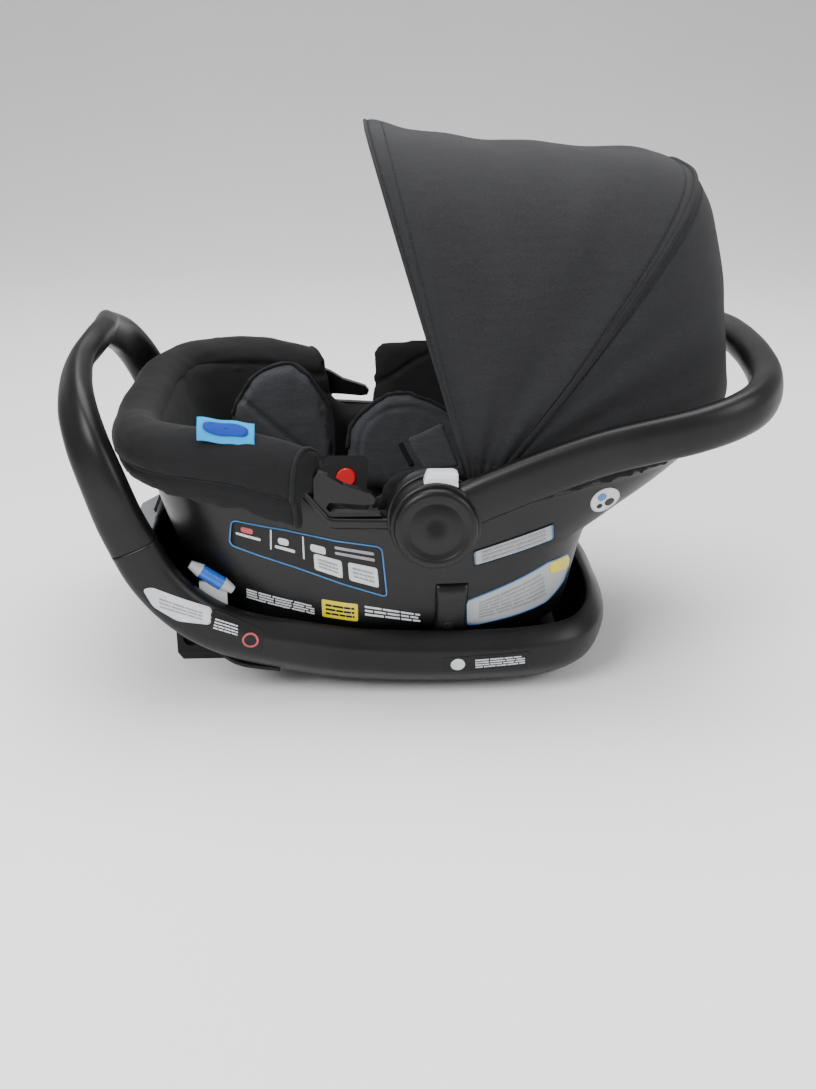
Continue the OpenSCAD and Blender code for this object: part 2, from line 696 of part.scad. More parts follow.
// Catch on the inner side of each arm that holds the tenon
module bar_lock() color([0.3, 0.3, 0.32]) both_sides() joint_place()
    translate([0, 5.2, -10]) rotate([-90, 0, 0]) cylinder(r = 4, h = 14);

module cradle_hooks() color(plastic) for (x = bar_x) both_sides()
    translate([x, -60, 0]) difference() {
        translate([-14, -10, deck_z + 0.2]) cube([28, 20, 11.4]);
        translate([0, 20, bar_z]) rotate([90, 0, 0]) cylinder(r = bar_r + 0.1, h = 40);
        translate([-bar_r - 0.1, -20, bar_z]) cube([2 * bar_r + 0.2, 40, 20]);
    }

level_at = [-212, -157, 132];
module level_place() translate(level_at) rotate([0, -55, 0]) children();
module level_housing() color([0.6, 0.62, 0.64]) {
    level_place() both_ends() translate([0, 0, 12.2]) cylinder(r1 = 7, r2 = 4, h = 12);
    // bracket that holds the window above the arm
    difference() {
        translate([-224, -160, 98]) cube([26, 4, 30]);
        level_place() cylinder(r = 7.2, h = 24.2, center = true);
    }
}
module both_ends() {
    children();
    mirror([0, 0, 1]) children();
}
module level_lens() color([0.1, 0.4, 0.8, 0.7]) level_place() difference() {
    cylinder(r = 6.6, h = 24, center = true);
    cylinder(r = 5.4, h = 22, center = true);
}
module level_ball() color([0.9, 0.9, 0.9]) level_place() sphere(r = 4.4);

foot_x0 = -262;
foot_x1 = -197;
foot_half = 76;
foot_top = 50;
rail_x = -232;
rail_y = 40;
rail_r = 5;
rail_low = 16;
module recline_foot() color(plastic) difference() {
    hull() {
        translate([foot_x0 + 5, 4 - foot_half, 0])
            cube([foot_x1 - foot_x0 - 14, 2 * foot_half - 8, 1]);
        translate([foot_x0, -foot_half, 10])
            cube([foot_x1 - foot_x0, 2 * foot_half, foot_top - 22]);
        translate([foot_x0, -foot_half, foot_top - 1])
            cube([foot_x1 - foot_x0 - 15, 2 * foot_half, 1]);
    }
    both_sides() {
        translate([foot_x0 + 15, -foot_half - 1, 26]) rotate([-90, 0, 0]) cylinder(r = 8.5, h = 6);
        translate([rail_x, -rail_y, rail_low - 4]) cylinder(r = rail_r + fit, h = 60);
    }
}

module foot_rails() color(steel) both_sides()
    translate([rail_x, -rail_y, rail_low]) cylinder(r = rail_r, h = foot_top - rail_low + foot_travel + 10);

module recline_lever() color([0.45, 0.46, 0.48])
    translate([-270, 0, 138]) rotate([0, -28, 0]) {
        translate([-9, -24, -16]) cube([8.5, 48, 30]);
        translate([-28, -24, 0]) cube([22, 48, 18]);
    }

module base_screws() color(steel) both_sides() for (x = [-60, 98])
    translate([x, -88, 1]) cylinder(r = 4, h = 5);

module base_labels() color([0.78, 0.8, 0.82]) {
    translate([-245, -184.6, 110]) rotate([90, 38, 0]) round_plate(56, 30, 0.8, 8);
    translate([58, -176.8, 37]) rotate([107, 0, 0]) round_plate(86, 20, 0.8, 2);
}

base_shell();
base_pan();
rebound_bar();
bar_tenons();
bar_lock();
cradle_hooks();
level_housing();
level_lens();
level_ball();
foot_rails();
base_screws();
base_labels();
recline_foot();
recline_lever();
shell();
foam_liner();
seat_pad();
seat_insert();
body_insert();
seat_tag();
latch_bars();
belt_guide_near();
belt_guide_far();
pivot_pin_near();
pivot_pin_far();
harness_straps();
crotch_strap();
chest_clip();
buckle_tongues();
buckle_housing();
buckle_button();
splitter_plate();
adjuster_housing();
adjuster_button();
release_handle();
latch_links();
shell_labels();
canopy_socket_near();
canopy_socket_far();
canopy_rear_bow();
canopy_fabric();
canopy_front_bow();
handle_tube();
hub_cap_near();
hub_cap_far();
handle_button_near();
handle_button_far();
button_spring_near();
button_spring_far();
lock_disc_near();
lock_disc_far();
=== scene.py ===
# Looks of the infant car seat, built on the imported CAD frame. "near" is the
# -Y side, "far" the +Y.
import math

import bmesh
import bpy
import numpy as np
from mathutils import Matrix, Vector, noise
from mathutils.bvhtree import BVHTree


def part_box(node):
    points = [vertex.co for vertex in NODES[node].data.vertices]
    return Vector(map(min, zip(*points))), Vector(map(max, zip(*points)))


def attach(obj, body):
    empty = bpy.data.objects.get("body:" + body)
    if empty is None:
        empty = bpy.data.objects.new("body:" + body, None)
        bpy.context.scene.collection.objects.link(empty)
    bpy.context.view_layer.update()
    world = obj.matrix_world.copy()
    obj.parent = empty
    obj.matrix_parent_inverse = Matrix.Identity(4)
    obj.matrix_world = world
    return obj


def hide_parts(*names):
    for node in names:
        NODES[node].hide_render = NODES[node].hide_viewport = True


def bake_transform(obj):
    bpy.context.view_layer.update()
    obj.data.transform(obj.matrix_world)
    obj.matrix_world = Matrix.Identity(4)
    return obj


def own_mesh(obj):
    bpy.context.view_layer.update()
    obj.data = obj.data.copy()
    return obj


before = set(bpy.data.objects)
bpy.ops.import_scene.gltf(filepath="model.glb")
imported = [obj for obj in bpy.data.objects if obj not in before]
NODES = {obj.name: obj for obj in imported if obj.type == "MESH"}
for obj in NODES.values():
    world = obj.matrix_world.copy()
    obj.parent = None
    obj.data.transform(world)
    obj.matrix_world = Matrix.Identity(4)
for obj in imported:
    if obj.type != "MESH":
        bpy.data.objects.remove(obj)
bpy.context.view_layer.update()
scene = bpy.context.scene


# ---------------------------------------------------------------- materials

class Mat:
    """A small builder for a node material."""

    def __init__(self, name, rough=0.5, spec=0.5, sheen=0.0, coat=0.0, metal=0.0):
        self.m = bpy.data.materials.new(name)
        self.m.use_nodes = True
        self.t = self.m.node_tree
        self.bsdf = self.t.nodes["Principled BSDF"]
        self.set("Roughness", rough)
        self.set("Specular IOR Level", spec)
        self.set("Metallic", metal)
        if sheen:
            self.set("Sheen Weight", sheen)
            self.set("Sheen Roughness", 0.4)
        if coat:
            self.set("Coat Weight", coat)
            self.set("Coat Roughness", 0.25)
        self.coord = self.node("ShaderNodeTexCoord").outputs["Object"]

    def set(self, name, value):
        self.bsdf.inputs[name].default_value = value

    def node(self, kind, **values):
        n = self.t.nodes.new(kind)
        for k, v in values.items():
            setattr(n, k, v)
        return n

    def link(self, a, b):
        self.t.links.new(a, b)

    def scaled(self, scale, rot=(0, 0, 0)):
        n = self.node("ShaderNodeMapping")
        n.inputs["Scale"].default_value = scale
        n.inputs["Rotation"].default_value = rot
        self.link(self.coord, n.inputs["Vector"])
        return n.outputs["Vector"]

    def noise(self, scale, detail=3.0, vector=None, rough=0.55):
        n = self.node("ShaderNodeTexNoise")
        n.inputs["Scale"].default_value = scale
        n.inputs["Detail"].default_value = detail
        n.inputs["Roughness"].default_value = rough
        self.link(vector or self.coord, n.inputs["Vector"])
        return n.outputs["Fac"]

    def wave(self, scale, vector, distortion, direction):
        n = self.node("ShaderNodeTexWave", bands_direction=direction)
        n.inputs["Scale"].default_value = scale
        n.inputs["Distortion"].default_value = distortion
        self.link(vector, n.inputs["Vector"])
        return n.outputs["Fac"]

    def ramp(self, value, stops):
        n = self.node("ShaderNodeValToRGB")
        while len(n.color_ramp.elements) < len(stops):
            n.color_ramp.elements.new(0.5)
        for e, (p, c) in zip(n.color_ramp.elements, stops):
            e.position = p
            e.color = (*c, 1)
        self.link(value, n.inputs["Fac"])
        return n.outputs["Color"]

    def math(self, op, a, b):
        n = self.node("ShaderNodeMath", operation=op)
        for i, v in enumerate((a, b)):
            if isinstance(v, (int, float)):
                n.inputs[i].default_value = v
            else:
                self.link(v, n.inputs[i])
        return n.outputs[0]

    def colour(self, c):
        self.link(c, self.bsdf.inputs["Base Color"])

    def rough(self, value, low, high):
        n = self.node("ShaderNodeMapRange")
        n.inputs["To Min"].default_value = low
        n.inputs["To Max"].default_value = high
        self.link(value, n.inputs["Value"])
        self.link(n.outputs[0], self.bsdf.inputs["Roughness"])

    def bump(self, height, strength, distance):
        n = self.node("ShaderNodeBump")
        n.inputs["Strength"].default_value = strength
        n.inputs["Distance"].default_value = distance
        old = self.bsdf.inputs["Normal"].links
        if old:
            self.link(old[0].from_socket, n.inputs["Normal"])
        self.link(height, n.inputs["Height"])
        self.link(n.outputs["Normal"], self.bsdf.inputs["Normal"])


def plastic(name, base, rough, grain=0.12, coat=0.0):
    """Moulded plastic with a fine spark-eroded grain, faint scuffs and dust."""
    m = Mat(name, rough, 0.28, coat=coat)
    cloud = m.noise(9, 4)
    worn = tuple(min(1, c * 1.35 + 0.004) for c in base)
    m.colour(m.ramp(cloud, [(0.3, base), (0.75, worn)]))
    scuff = m.noise(60, 6, m.scaled((1, 0.25, 2.2)), 0.7)
    m.rough(m.math("ADD", m.math("MULTIPLY", cloud, 0.5), m.math("MULTIPLY", scuff, 0.5)),
            rough - 0.07, rough + 0.13)
    m.bump(m.noise(1500, 2), grain, 0.0002)
    m.bump(m.noise(14, 2), 0.12, 0.0015)
    return m.m


def weave(name, dark, light, pitch, sheen=0.25, strength=0.35, mottle=0.35, rot=0.0):
    """Plain weave with mixed-colour yarns, sized by pitch in metres."""
    m = Mat(name, 0.85, 0.3, sheen)
    v = m.scaled((1, 1, 1), (0.35, rot, 0.2))
    k = 0.5 / pitch
    a = m.wave(k, v, 0.6, "X")
    b = m.wave(k, v, 0.6, "Z")
    threads = m.math("MULTIPLY", m.math("ADD", a, b), 0.5)
    yarn = m.noise(420, 3, m.scaled((1, 1, 3.2), (0.1, rot, 0.0)), 0.7)
    slub = m.noise(90, 3, m.scaled((0.4, 1, 2.4)), 0.6)
    fac = m.math("ADD", m.math("MULTIPLY", yarn, mottle),
                 m.math("ADD", m.math("MULTIPLY", threads, 0.25),
                        m.math("MULTIPLY", slub, 0.6 - mottle)))
    m.colour(m.ramp(fac, [(0.25, dark), (0.62, light)]))
    m.rough(yarn, 0.75, 0.95)
    m.bump(threads, strength, 0.0004)
    m.bump(yarn, 0.25, 0.0004)
    m.bump(m.noise(28, 2), 0.1, 0.002)
    return m.m


def metal(name, base, rough):
    """Plated or turned steel with fine brushing."""
    m = Mat(name, rough, 0.5, metal=1.0)
    brush = m.noise(300, 3, m.scaled((1, 0.06, 1)))
    m.colour(m.ramp(brush, [(0.3, tuple(c * 0.8 for c in base)), (0.7, base)]))
    m.rough(brush, rough - 0.08, rough + 0.12)
    m.bump(brush, 0.08, 0.0002)
    return m.m


def printed(name, ground, ink, rough=0.38):
    """Laminated sticker: even ground with faint mottling and a soft film."""
    m = Mat(name, rough, 0.5, coat=0.3)
    cloud = m.noise(70, 3)
    m.colour(m.ramp(cloud, [(0.3, ground), (0.8, ink)]))
    m.rough(m.noise(40, 3), rough - 0.06, rough + 0.1)
    m.bump(m.noise(160, 2), 0.05, 0.0003)
    return m.m


BLACK = plastic("shell_black", (0.0022, 0.0022, 0.0024), 0.33, 0.1, 0.1)
BASE = plastic("base_black", (0.0026, 0.0026, 0.0028), 0.36, 0.2)
HANDLE = plastic("handle_black", (0.0026, 0.0026, 0.0028), 0.35, 0.16)
GREY = plastic("button_grey", (0.62, 0.63, 0.65), 0.34, 0.06)
LEVER = plastic("lever_grey", (0.2, 0.21, 0.22), 0.42, 0.1)
DARKGREY = plastic("dark_grey", (0.008, 0.008, 0.009), 0.42, 0.12)
RED = plastic("button_red", (0.5, 0.008, 0.012), 0.3, 0.05, 0.2)
SILVER = plastic("silver_plastic", (0.3, 0.31, 0.32), 0.3, 0.05)
BLUE = plastic("window_blue", (0.01, 0.09, 0.42), 0.15, 0.02, 0.5)
STEEL = metal("steel", (0.5, 0.5, 0.52), 0.32)
FOAM = plastic("foam", (0.012, 0.012, 0.013), 0.85, 0.5)
CANOPY = weave("canopy_cloth", (0.0016, 0.0017, 0.0021), (0.026, 0.0265, 0.029),
               0.0011, 0.05, 0.55, 0.5)
COVER = weave("cover_cloth", (0.0018, 0.0019, 0.0022), (0.0078, 0.008, 0.0092),
              0.0009, 0.05, 0.35, 0.3)
INSERT = weave("insert_knit", (0.012, 0.0122, 0.014), (0.064, 0.065, 0.073),
               0.0010, 0.1, 0.4, 0.45, 0.6)
PATCH = weave("insert_patch", (0.026, 0.0265, 0.029), (0.088, 0.09, 0.098), 0.0010, 0.1, 0.35, 0.4)
PIPING = weave("piping_cord", (0.0025, 0.0025, 0.003), (0.012, 0.0122, 0.014),
               0.0009, 0.08, 0.5, 0.3)
THREAD = weave("thread", (0.006, 0.006, 0.007), (0.024, 0.024, 0.026), 0.0006, 0.05, 0.2, 0.3)
WEBBING = weave("webbing_weave", (0.0025, 0.0025, 0.003), (0.011, 0.011, 0.0125),
                0.0016, 0.06, 0.7, 0.2)
TAG = weave("tag_cloth", (0.006, 0.24, 0.55), (0.012, 0.34, 0.7), 0.0008, 0.05, 0.2, 0.2)
TAG_PANEL = weave("tag_panel", (0.004, 0.03, 0.25), (0.008, 0.055, 0.34), 0.0008, 0.05, 0.2, 0.2)
WHITE = printed("label_white", (0.5, 0.51, 0.53), (0.62, 0.63, 0.65))
LINE = printed("label_line", (0.2, 0.2, 0.21), (0.3, 0.3, 0.31))
INK = plastic("label_black", (0.0022, 0.0022, 0.0025), 0.42, 0.03)
LBLUE = printed("label_blue", (0.02, 0.13, 0.34), (0.04, 0.2, 0.46))
YELLOW = printed("label_yellow", (0.62, 0.5, 0.01), (0.72, 0.6, 0.02))
LRED = printed("label_red", (0.4, 0.04, 0.05), (0.5, 0.07, 0.07))


# ------------------------------------------------------------ mesh building

def mesh(name, verts, faces, mat, smooth=True):
    """Object from points in millimetres."""
    me = bpy.data.meshes.new(name)
    me.from_pydata((np.asarray(verts, float) / 1000).tolist(), [], [list(f) for f in faces])
    me.validate()
    me.polygons.foreach_set("use_smooth", [smooth] * len(me.polygons))
    me.materials.append(mat)
    o = bpy.data.objects.new(name, me)
    scene.collection.objects.link(o)
    return o


def grid_faces(m, n, loop_u=False, loop_v=False, flip=False):
    out = []
    for i in range(m if loop_u else m - 1):
        for j in range(n if loop_v else n - 1):
            a, b = i * n + j, i * n + (j + 1) % n
            c, d = ((i + 1) % m) * n + (j + 1) % n, ((i + 1) % m) * n + j
            out.append((a, d, c, b) if flip else (a, b, c, d))
    return out


def surface(name, grid, mat, loop_u=False, loop_v=False, caps=False, flip=False):
    """Smooth surface through a grid of points [row][column]."""
    g = np.asarray(grid, float)
    m, n = g.shape[:2]
    verts = g.reshape(-1, 3)
    faces = grid_faces(m, n, loop_u, loop_v, flip)
    if caps:
        first, last = list(range(n)), list(range((m - 1) * n, m * n))
        faces += [first if flip else first[::-1], last[::-1] if flip else last]
    o = mesh(name, verts, faces, mat)
    fix_normals(o)
    return o


def solid(name, rings, mat):
    """Closed piece through a row of rings, with flat ends."""
    return surface(name, rings, mat, loop_v=True, caps=True)


def fix_normals(o):
    bm = bmesh.new()
    bm.from_mesh(o.data)
    bmesh.ops.recalc_face_normals(bm, faces=bm.faces)
    bm.to_mesh(o.data)
    bm.free()


def modify(o, kind, **values):
    mod = o.modifiers.new(kind, kind)
    for k, v in values.items():
        setattr(mod, k, v)
    return mod


def bake(o):
    """Applies every modifier."""
    dg = bpy.context.evaluated_depsgraph_get()
    me = bpy.data.meshes.new_from_object(o.evaluated_get(dg))
    o.modifiers.clear()
    o.data = me
    return o


def shade_smooth(o):
    o.data.polygons.foreach_set("use_smooth", [True] * len(o.data.polygons))


def thicken(o, mm, offset=-1.0):
    modify(o, "SOLIDIFY", thickness=mm / 1000, offset=offset, use_even_offset=True)
    return bake(o)


def join(name, objs):
    """One object made of several, keeping their materials."""
    bm = bmesh.new()
    mats = []
    for o in objs:
        me = o.data
        start = len(bm.faces)
        index = []
        for mat in me.materials:
            if mat not in mats:
                mats.append(mat)
            index.append(mats.index(mat))
        old = [p.material_index for p in me.polygons]
        bm.from_mesh(me)
        bm.faces.ensure_lookup_table()
        for k, mi in enumerate(old):
            bm.faces[start + k].material_index = index[mi] if index else 0
        bpy.data.objects.remove(o)
    me = bpy.data.meshes.new(name)
    bm.to_mesh(me)
    bm.free()
    for mat in mats:
        me.materials.append(mat)
    o = bpy.data.objects.new(name, me)
    scene.collection.objects.link(o)
    return o


def unit(v):
    return v / np.maximum(np.linalg.norm(v, axis=-1, keepdims=True), 1e-9)


def spline(points, steps, loop=False):
    """Catmull-Rom curve through points."""
    p = np.asarray(points, float)
    n = len(p)
    out = []
    for i in range(n if loop else n - 1):
        if loop:
            a, b, c, d = p[(i - 1) % n], p[i], p[(i + 1) % n], p[(i + 2) % n]
        else:
            a, b, c, d = p[max(i - 1, 0)], p[i], p[i + 1], p[min(i + 2, n - 1)]
        for k in range(steps):
            t = k / steps
            out.append(0.5 * (2 * b + (c - a) * t + (2 * a - 5 * b + 4 * c - d) * t * t
                              + (3 * b - a - 3 * c + d) * t ** 3))
    if not loop:
        out.append(p[-1])
    return np.array(out)


def tube(name, path, r, mat, sides=10, twist=0.0, loop=False, squash=1.0):
    """Round cord along a path; twist in strands per metre gives a rope-like lay."""
    path = np.asarray(path, float)
    n = len(path)
    nxt = np.roll(path, -1, 0) if loop else np.vstack([path[1:], path[-1]])
    prv = np.roll(path, 1, 0) if loop else np.vstack([path[0], path[:-1]])
    t = unit(nxt - prv)
    up = np.array([0.0, 0.0, 1.0]) if abs(t[:, 2]).mean() < 0.8 else np.array([0.0, 1.0, 0.0])
    s = unit(np.cross(t, up))
    w = np.cross(s, t)
    length = np.concatenate([[0], np.cumsum(np.linalg.norm(np.diff(path, axis=0), axis=1))])
    a = np.linspace(0, 2 * math.pi, sides, endpoint=False)
    rings = []
    for i in range(n):
        rr = r * (1 + (0.22 * np.sin(2 * a + length[i] * twist) if twist else 0))
        rings.append(path[i] + (np.cos(a) * rr)[:, None] * s[i]
                     + (np.sin(a) * rr * squash)[:, None] * w[i])
    return surface(name, rings, mat, loop_u=loop, loop_v=True, caps=not loop)


def vertex_array(o, normals=False):
    """Vertex places (or normals) of a piece in metres."""
    return np.array([v.normal if normals else v.co for v in o.data.vertices])


def set_vertices(o, co):
    o.data.vertices.foreach_set("co", co.astype(np.float32).ravel())
    o.data.update()


def wrinkle(o, amount, scale, seed, stretch=(1, 1, 1)):
    """Moves vertices along their normals by smooth noise; amount in mm, scale per metre."""
    co, no = vertex_array(o), vertex_array(o, True)
    offset, fine = Vector((seed, seed * 2.3, -seed)), Vector((seed, seed, seed))
    h = []
    for c in co * np.array(stretch) * scale:
        p = Vector(c)
        h.append(noise.noise(p + offset) + 0.4 * noise.noise(p * 2.3 + fine))
    h = np.array(h) * amount / 1000
    set_vertices(o, co + no * h[:, None])


def hug(o, line, lift=0.0, reach=14.0):
    """Moves each point of a line in mm onto the piece's nearest surface."""
    bvh = BVHTree.FromObject(o, bpy.context.evaluated_depsgraph_get())
    out = []
    for p in np.asarray(line, float):
        q, n, _, d = bvh.find_nearest(Vector(p / 1000))
        found = q is not None and d * 1000 < reach
        out.append(np.array(q) * 1000 + np.array(n) * lift if found else p)
    out = np.array(out)
    for _ in range(2):
        out[1:-1] = (out[:-2] + 2 * out[1:-1] + out[2:]) / 4
    return out


def groove(o, line, depth, width):
    """Presses a stitched channel along a line of points in mm; depth and width in mm."""
    line = hug(o, line) / 1000
    co, no = vertex_array(o), vertex_array(o, True)
    d = np.full(len(co), 1e9)
    for a, b in zip(line[:-1], line[1:]):
        ab = b - a
        t = np.clip(((co - a) @ ab) / max(ab @ ab, 1e-12), 0, 1)
        d = np.minimum(d, np.linalg.norm(co - (a + t[:, None] * ab), axis=1))
    push = depth / 1000 * np.exp(-(d / (width / 1000)) ** 2)
    set_vertices(o, co - no * push[:, None])


def puff(o, voxel, pressure, frames, cap):
    """Sewn, stuffed look: remeshes the closed piece and lets cloth under pressure settle.

    No point moves further than cap; voxel and cap are in mm.
    """
    modify(o, "REMESH", mode="VOXEL", voxel_size=voxel / 1000)
    bake(o)
    rest = vertex_array(o)
    cloth = modify(o, "CLOTH")
    s = cloth.settings
    s.quality = 5
    s.mass = 0.15
    s.tension_stiffness = s.compression_stiffness = 12
    s.shear_stiffness = 4
    s.bending_stiffness = 0.4
    s.use_pressure = True
    s.uniform_pressure_force = pressure
    s.effector_weights.gravity = 0
    s.shrink_min = -0.04
    cloth.point_cache.frame_start, cloth.point_cache.frame_end = 1, frames
    for f in range(1, frames + 1):
        scene.frame_set(f)
    dg = bpy.context.evaluated_depsgraph_get()
    moved = vertex_array(o.evaluated_get(dg))
    o.modifiers.clear()
    scene.frame_set(1)
    d = moved - rest
    size = np.linalg.norm(d, axis=1, keepdims=True)
    d *= np.minimum(1, cap / 1000 / np.maximum(size, 1e-9))
    d[~np.isfinite(d).all(1)] = 0
    set_vertices(o, rest + d)
    modify(o, "SMOOTH", factor=0.5, iterations=3)
    modify(o, "SUBSURF", levels=1, render_levels=1)
    bake(o)
    shade_smooth(o)


def place(o, body, replaces=()):
    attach(o, body)
    if replaces:
        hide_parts(*replaces)


# ------------------------------------------------------- carrier shell shape

def smooth_interp(x, xs, ys):
    """Monotone cubic through knots, so that moulded surfaces have no creases."""
    xs, ys = np.asarray(xs, float), np.asarray(ys, float)
    h, d = np.diff(xs), np.diff(ys) / np.diff(xs)
    m = np.zeros(len(xs))
    m[0], m[-1] = d[0], d[-1]
    for i in range(1, len(xs) - 1):
        if d[i - 1] * d[i] > 0:
            w1, w2 = 2 * h[i] + h[i - 1], h[i] + 2 * h[i - 1]
            m[i] = (w1 + w2) / (w1 / d[i - 1] + w2 / d[i])
    x = np.clip(x, xs[0], xs[-1])
    i = np.clip(np.searchsorted(xs, x, side="right") - 1, 0, len(xs) - 2)
    t = (x - xs[i]) / h[i]
    return ((2 * t ** 3 - 3 * t ** 2 + 1) * ys[i] + (t ** 3 - 2 * t ** 2 + t) * h[i] * m[i]
            + (-2 * t ** 3 + 3 * t ** 2) * ys[i + 1] + (t ** 3 - t ** 2) * h[i] * m[i + 1])


ROW_T = [0, .10, .28, .44, .57, .69, .82, .93, 1]
ROW_HEAD = [128, 149, 156, 163, 173, 208, 250, 277, 288]
ROW_FOOT = [186, 212, 236, 252, 262, 270, 277, 283, 288]
ROW_WIDTH = [112, 146, 160, 167, 171, 175, 179, 183, 186]
RIM_X = [-292, -150, -96, -20, 60, 150, 292]
RIM_Z = [266, 266, 200, 198, 216, 236, 260]
FLOOR, WALL, LIP = 45, 4, 3
SHELL_END, SHELL_HALF = 288, 186     # rim's reach along X and Y
HEAD_POWER, FOOT_POWER = 3.0, 4.4    # how square the outline is at either end
PIVOT_Z = 202                        # handle's axis, at X = 0


def rim_z(x):
    return np.interp(x, RIM_X, RIM_Z)


def oval(c, s, a, b, n):
    return 1 / ((np.abs(c) / a) ** n + (np.abs(s) / b) ** n) ** (1 / n)


def shell_point(u, t, out=0.0, lift=0.0):
    """Point of the shell at angle u in radians and height fraction t."""
    u = np.asarray(u, float)
    c, s = np.cos(u), np.sin(u)
    head = c > 0
    n = np.where(head, HEAD_POWER, FOOT_POWER)
    a = np.where(head, smooth_interp(t, ROW_T, ROW_HEAD), smooth_interp(t, ROW_T, ROW_FOOT)) + out
    b = smooth_interp(t, ROW_T, ROW_WIDTH) + out
    x_rim = c * oval(c, s, SHELL_END, SHELL_HALF, n)
    r = oval(c, s, a, b, n)
    return np.stack([r * c, r * s, FLOOR + (rim_z(x_rim) - FLOOR) * t + lift + 0 * r], -1)


def side_point(x, z, out=0.0):
    """Point on the shell's near side at x and z, moved outwards."""
    t = (z - FLOOR) / (rim_z(x) - FLOOR)
    a = smooth_interp(t, ROW_T, ROW_HEAD if x > 0 else ROW_FOOT)
    b = smooth_interp(t, ROW_T, ROW_WIDTH)
    n = HEAD_POWER if x > 0 else FOOT_POWER
    y = b * (1 - min(abs(x) / a, 0.985) ** n) ** (1 / n) + out
    return np.array([x, -y, z])


# angles round the shell, evenly spaced
ANGLES = np.linspace(0, 2 * math.pi, 288, endpoint=False)


def build_shell():
    rings = [shell_point(ANGLES, t) for t in np.linspace(0, .935, 44)]
    rings += [shell_point(ANGLES, .95, LIP * .5), shell_point(ANGLES, .955, LIP),
              shell_point(ANGLES, .99, LIP), shell_point(ANGLES, 1, LIP - .6, 1),
              shell_point(ANGLES, 1, LIP - 1.6, 2), shell_point(ANGLES, 1, -WALL + 1, 2),
              shell_point(ANGLES, 1, -WALL, .6)]
    rings += [shell_point(ANGLES, t, -WALL, WALL if t < .01 else 0)
              for t in np.linspace(.93, 0, 20)]
    o = surface("shell_body", rings, BLACK, loop_v=True, caps=True)
    # the release handle's opening follows the slope of the head end
    tilt = Matrix.Rotation(-math.radians(31), 4, "Y")
    cut_box(o, (-30, -46, -14), (30, 46, 10), Matrix.Translation((.212, 0, .197)) @ tilt)
    smooth_by_angle(o, 50)
    return o


def cut_box(o, lo, hi, where=None):
    cut = box_mesh("cut", lo, hi)
    if where is not None:
        cut.matrix_world = where
        bpy.context.view_layer.update()
    modify(o, "BOOLEAN", operation="DIFFERENCE", object=cut, solver="EXACT")
    bake(o)
    bpy.data.objects.remove(cut)


def box_mesh(name, lo, hi, mat=BLACK, bevel=0.0):
    v = [[x, y, z] for x in (lo[0], hi[0]) for y in (lo[1], hi[1]) for z in (lo[2], hi[2])]
    f = [(0, 1, 3, 2), (4, 6, 7, 5), (0, 4, 5, 1), (2, 3, 7, 6), (0, 2, 6, 4), (1, 5, 7, 3)]
    o = mesh(name, v, f, mat, smooth=False)
    if bevel:
        modify(o, "BEVEL", width=bevel / 1000, segments=4, limit_method="NONE")
        bake(o)
        shade_smooth(o)
    return o


def lathe(name, profile, mat, start_y):
    """Turned piece on the handle's axis: [radius, distance outwards from start_y] points."""
    a = np.linspace(0, 2 * math.pi, 96, endpoint=False)
    rings = [[[r * math.cos(q), start_y - h, PIVOT_Z + r * math.sin(q)] for q in a]
             for r, h in profile]
    return solid(name, rings, mat)


FLIP = Matrix.Scale(-1, 4, (0, 1, 0))    # from one side to the other


def mirrored(o, name):
    me = o.data.copy()
    me.transform(FLIP)
    me.flip_normals()
    c = bpy.data.objects.new(name, me)
    scene.collection.objects.link(c)
    return c


def smooth_by_angle(o, degrees):
    """Smooth shading except across sharp edges."""
    bm = bmesh.new()
    bm.from_mesh(o.data)
    for f in bm.faces:
        f.smooth = True
    for e in bm.edges:
        if len(e.link_faces) == 2 and e.calc_face_angle(0) > math.radians(degrees):
            e.smooth = False
    bm.to_mesh(o.data)
    bm.free()


shell = build_shell()
boss = lathe("boss", [[0, 0], [40, 0], [43.2, .5], [44, 1.6], [44, 17], [43.2, 18.2], [41, 18.6],
                      [39, 17.6], [36, 17.2], [0, 17.2]], BLACK, -172)
shell_parts = [shell, boss, mirrored(boss, "boss_far")]
for x in (-120, 104):
    for y in (-40, 24):
        shell_parts.append(box_mesh("lug", (x - 9, y, 36), (x + 9, y + 16, 48), BLACK, 1.5))


def latch_rib():
    """Upright rib on the shell's near side, fading out at its top."""
    rows = []
    for x, push in ((3, 0), (4.5, 5), (7, 6.5), (31, 6.5), (33.5, 5), (35, 0)):
        rows.append([side_point(x, z, push * (1 - max(0, (z - 112) / 14) ** 2) + .1)
                     for z in np.linspace(58, 126, 18)])
    return surface("latch_rib", rows, BLACK)


# Flat dark disc on the latch rib: painted shade where the latch's hole would be, as no hole is
# cut.
def latch_hole_shade():
    rows = [[side_point(16 + 5 * math.cos(a) * r, 76 + 7 * math.sin(a) * r, 7.1)
             for a in np.linspace(0, 2 * math.pi, 28, endpoint=False)] for r in (1, .7, .4, .1)]
    return surface("latch_hole_shade", rows, INK, loop_v=True)


shell_parts += [thicken(latch_rib(), 2.5), thicken(latch_hole_shade(), .6)]
shell = join("shell_body", shell_parts)
place(shell, "carrier", ["shell"])


# -------------------------------------------------------- base, loop, handle

SIDE_LINE = [[-281, -172, 172], [-267, -170, 141], [-243, -168, 109], [-208, -165, 80],
             [-160, -162, 57], [-100, -160, 42], [-40, -160, 36], [30, -160, 34],
             [100, -156, 35], [140, -142, 37], [160, -110, 39], [168, -60, 40], [169, 0, 40]]
LOW = [[19, 22], [14, 31], [8, 37], [4, 39], [0, 37], [-2, 30], [-5, 12], [-8, -6],
       [-20, -18], [-34, -26], [-31, -29], [-22, -29], [-12, -25], [2, -15], [12, -5], [17, 8]]


def mirror_path(half):
    """Path over both sides, from its near half."""
    return np.vstack([half, half[-2::-1] * np.array([1, -1, 1])])


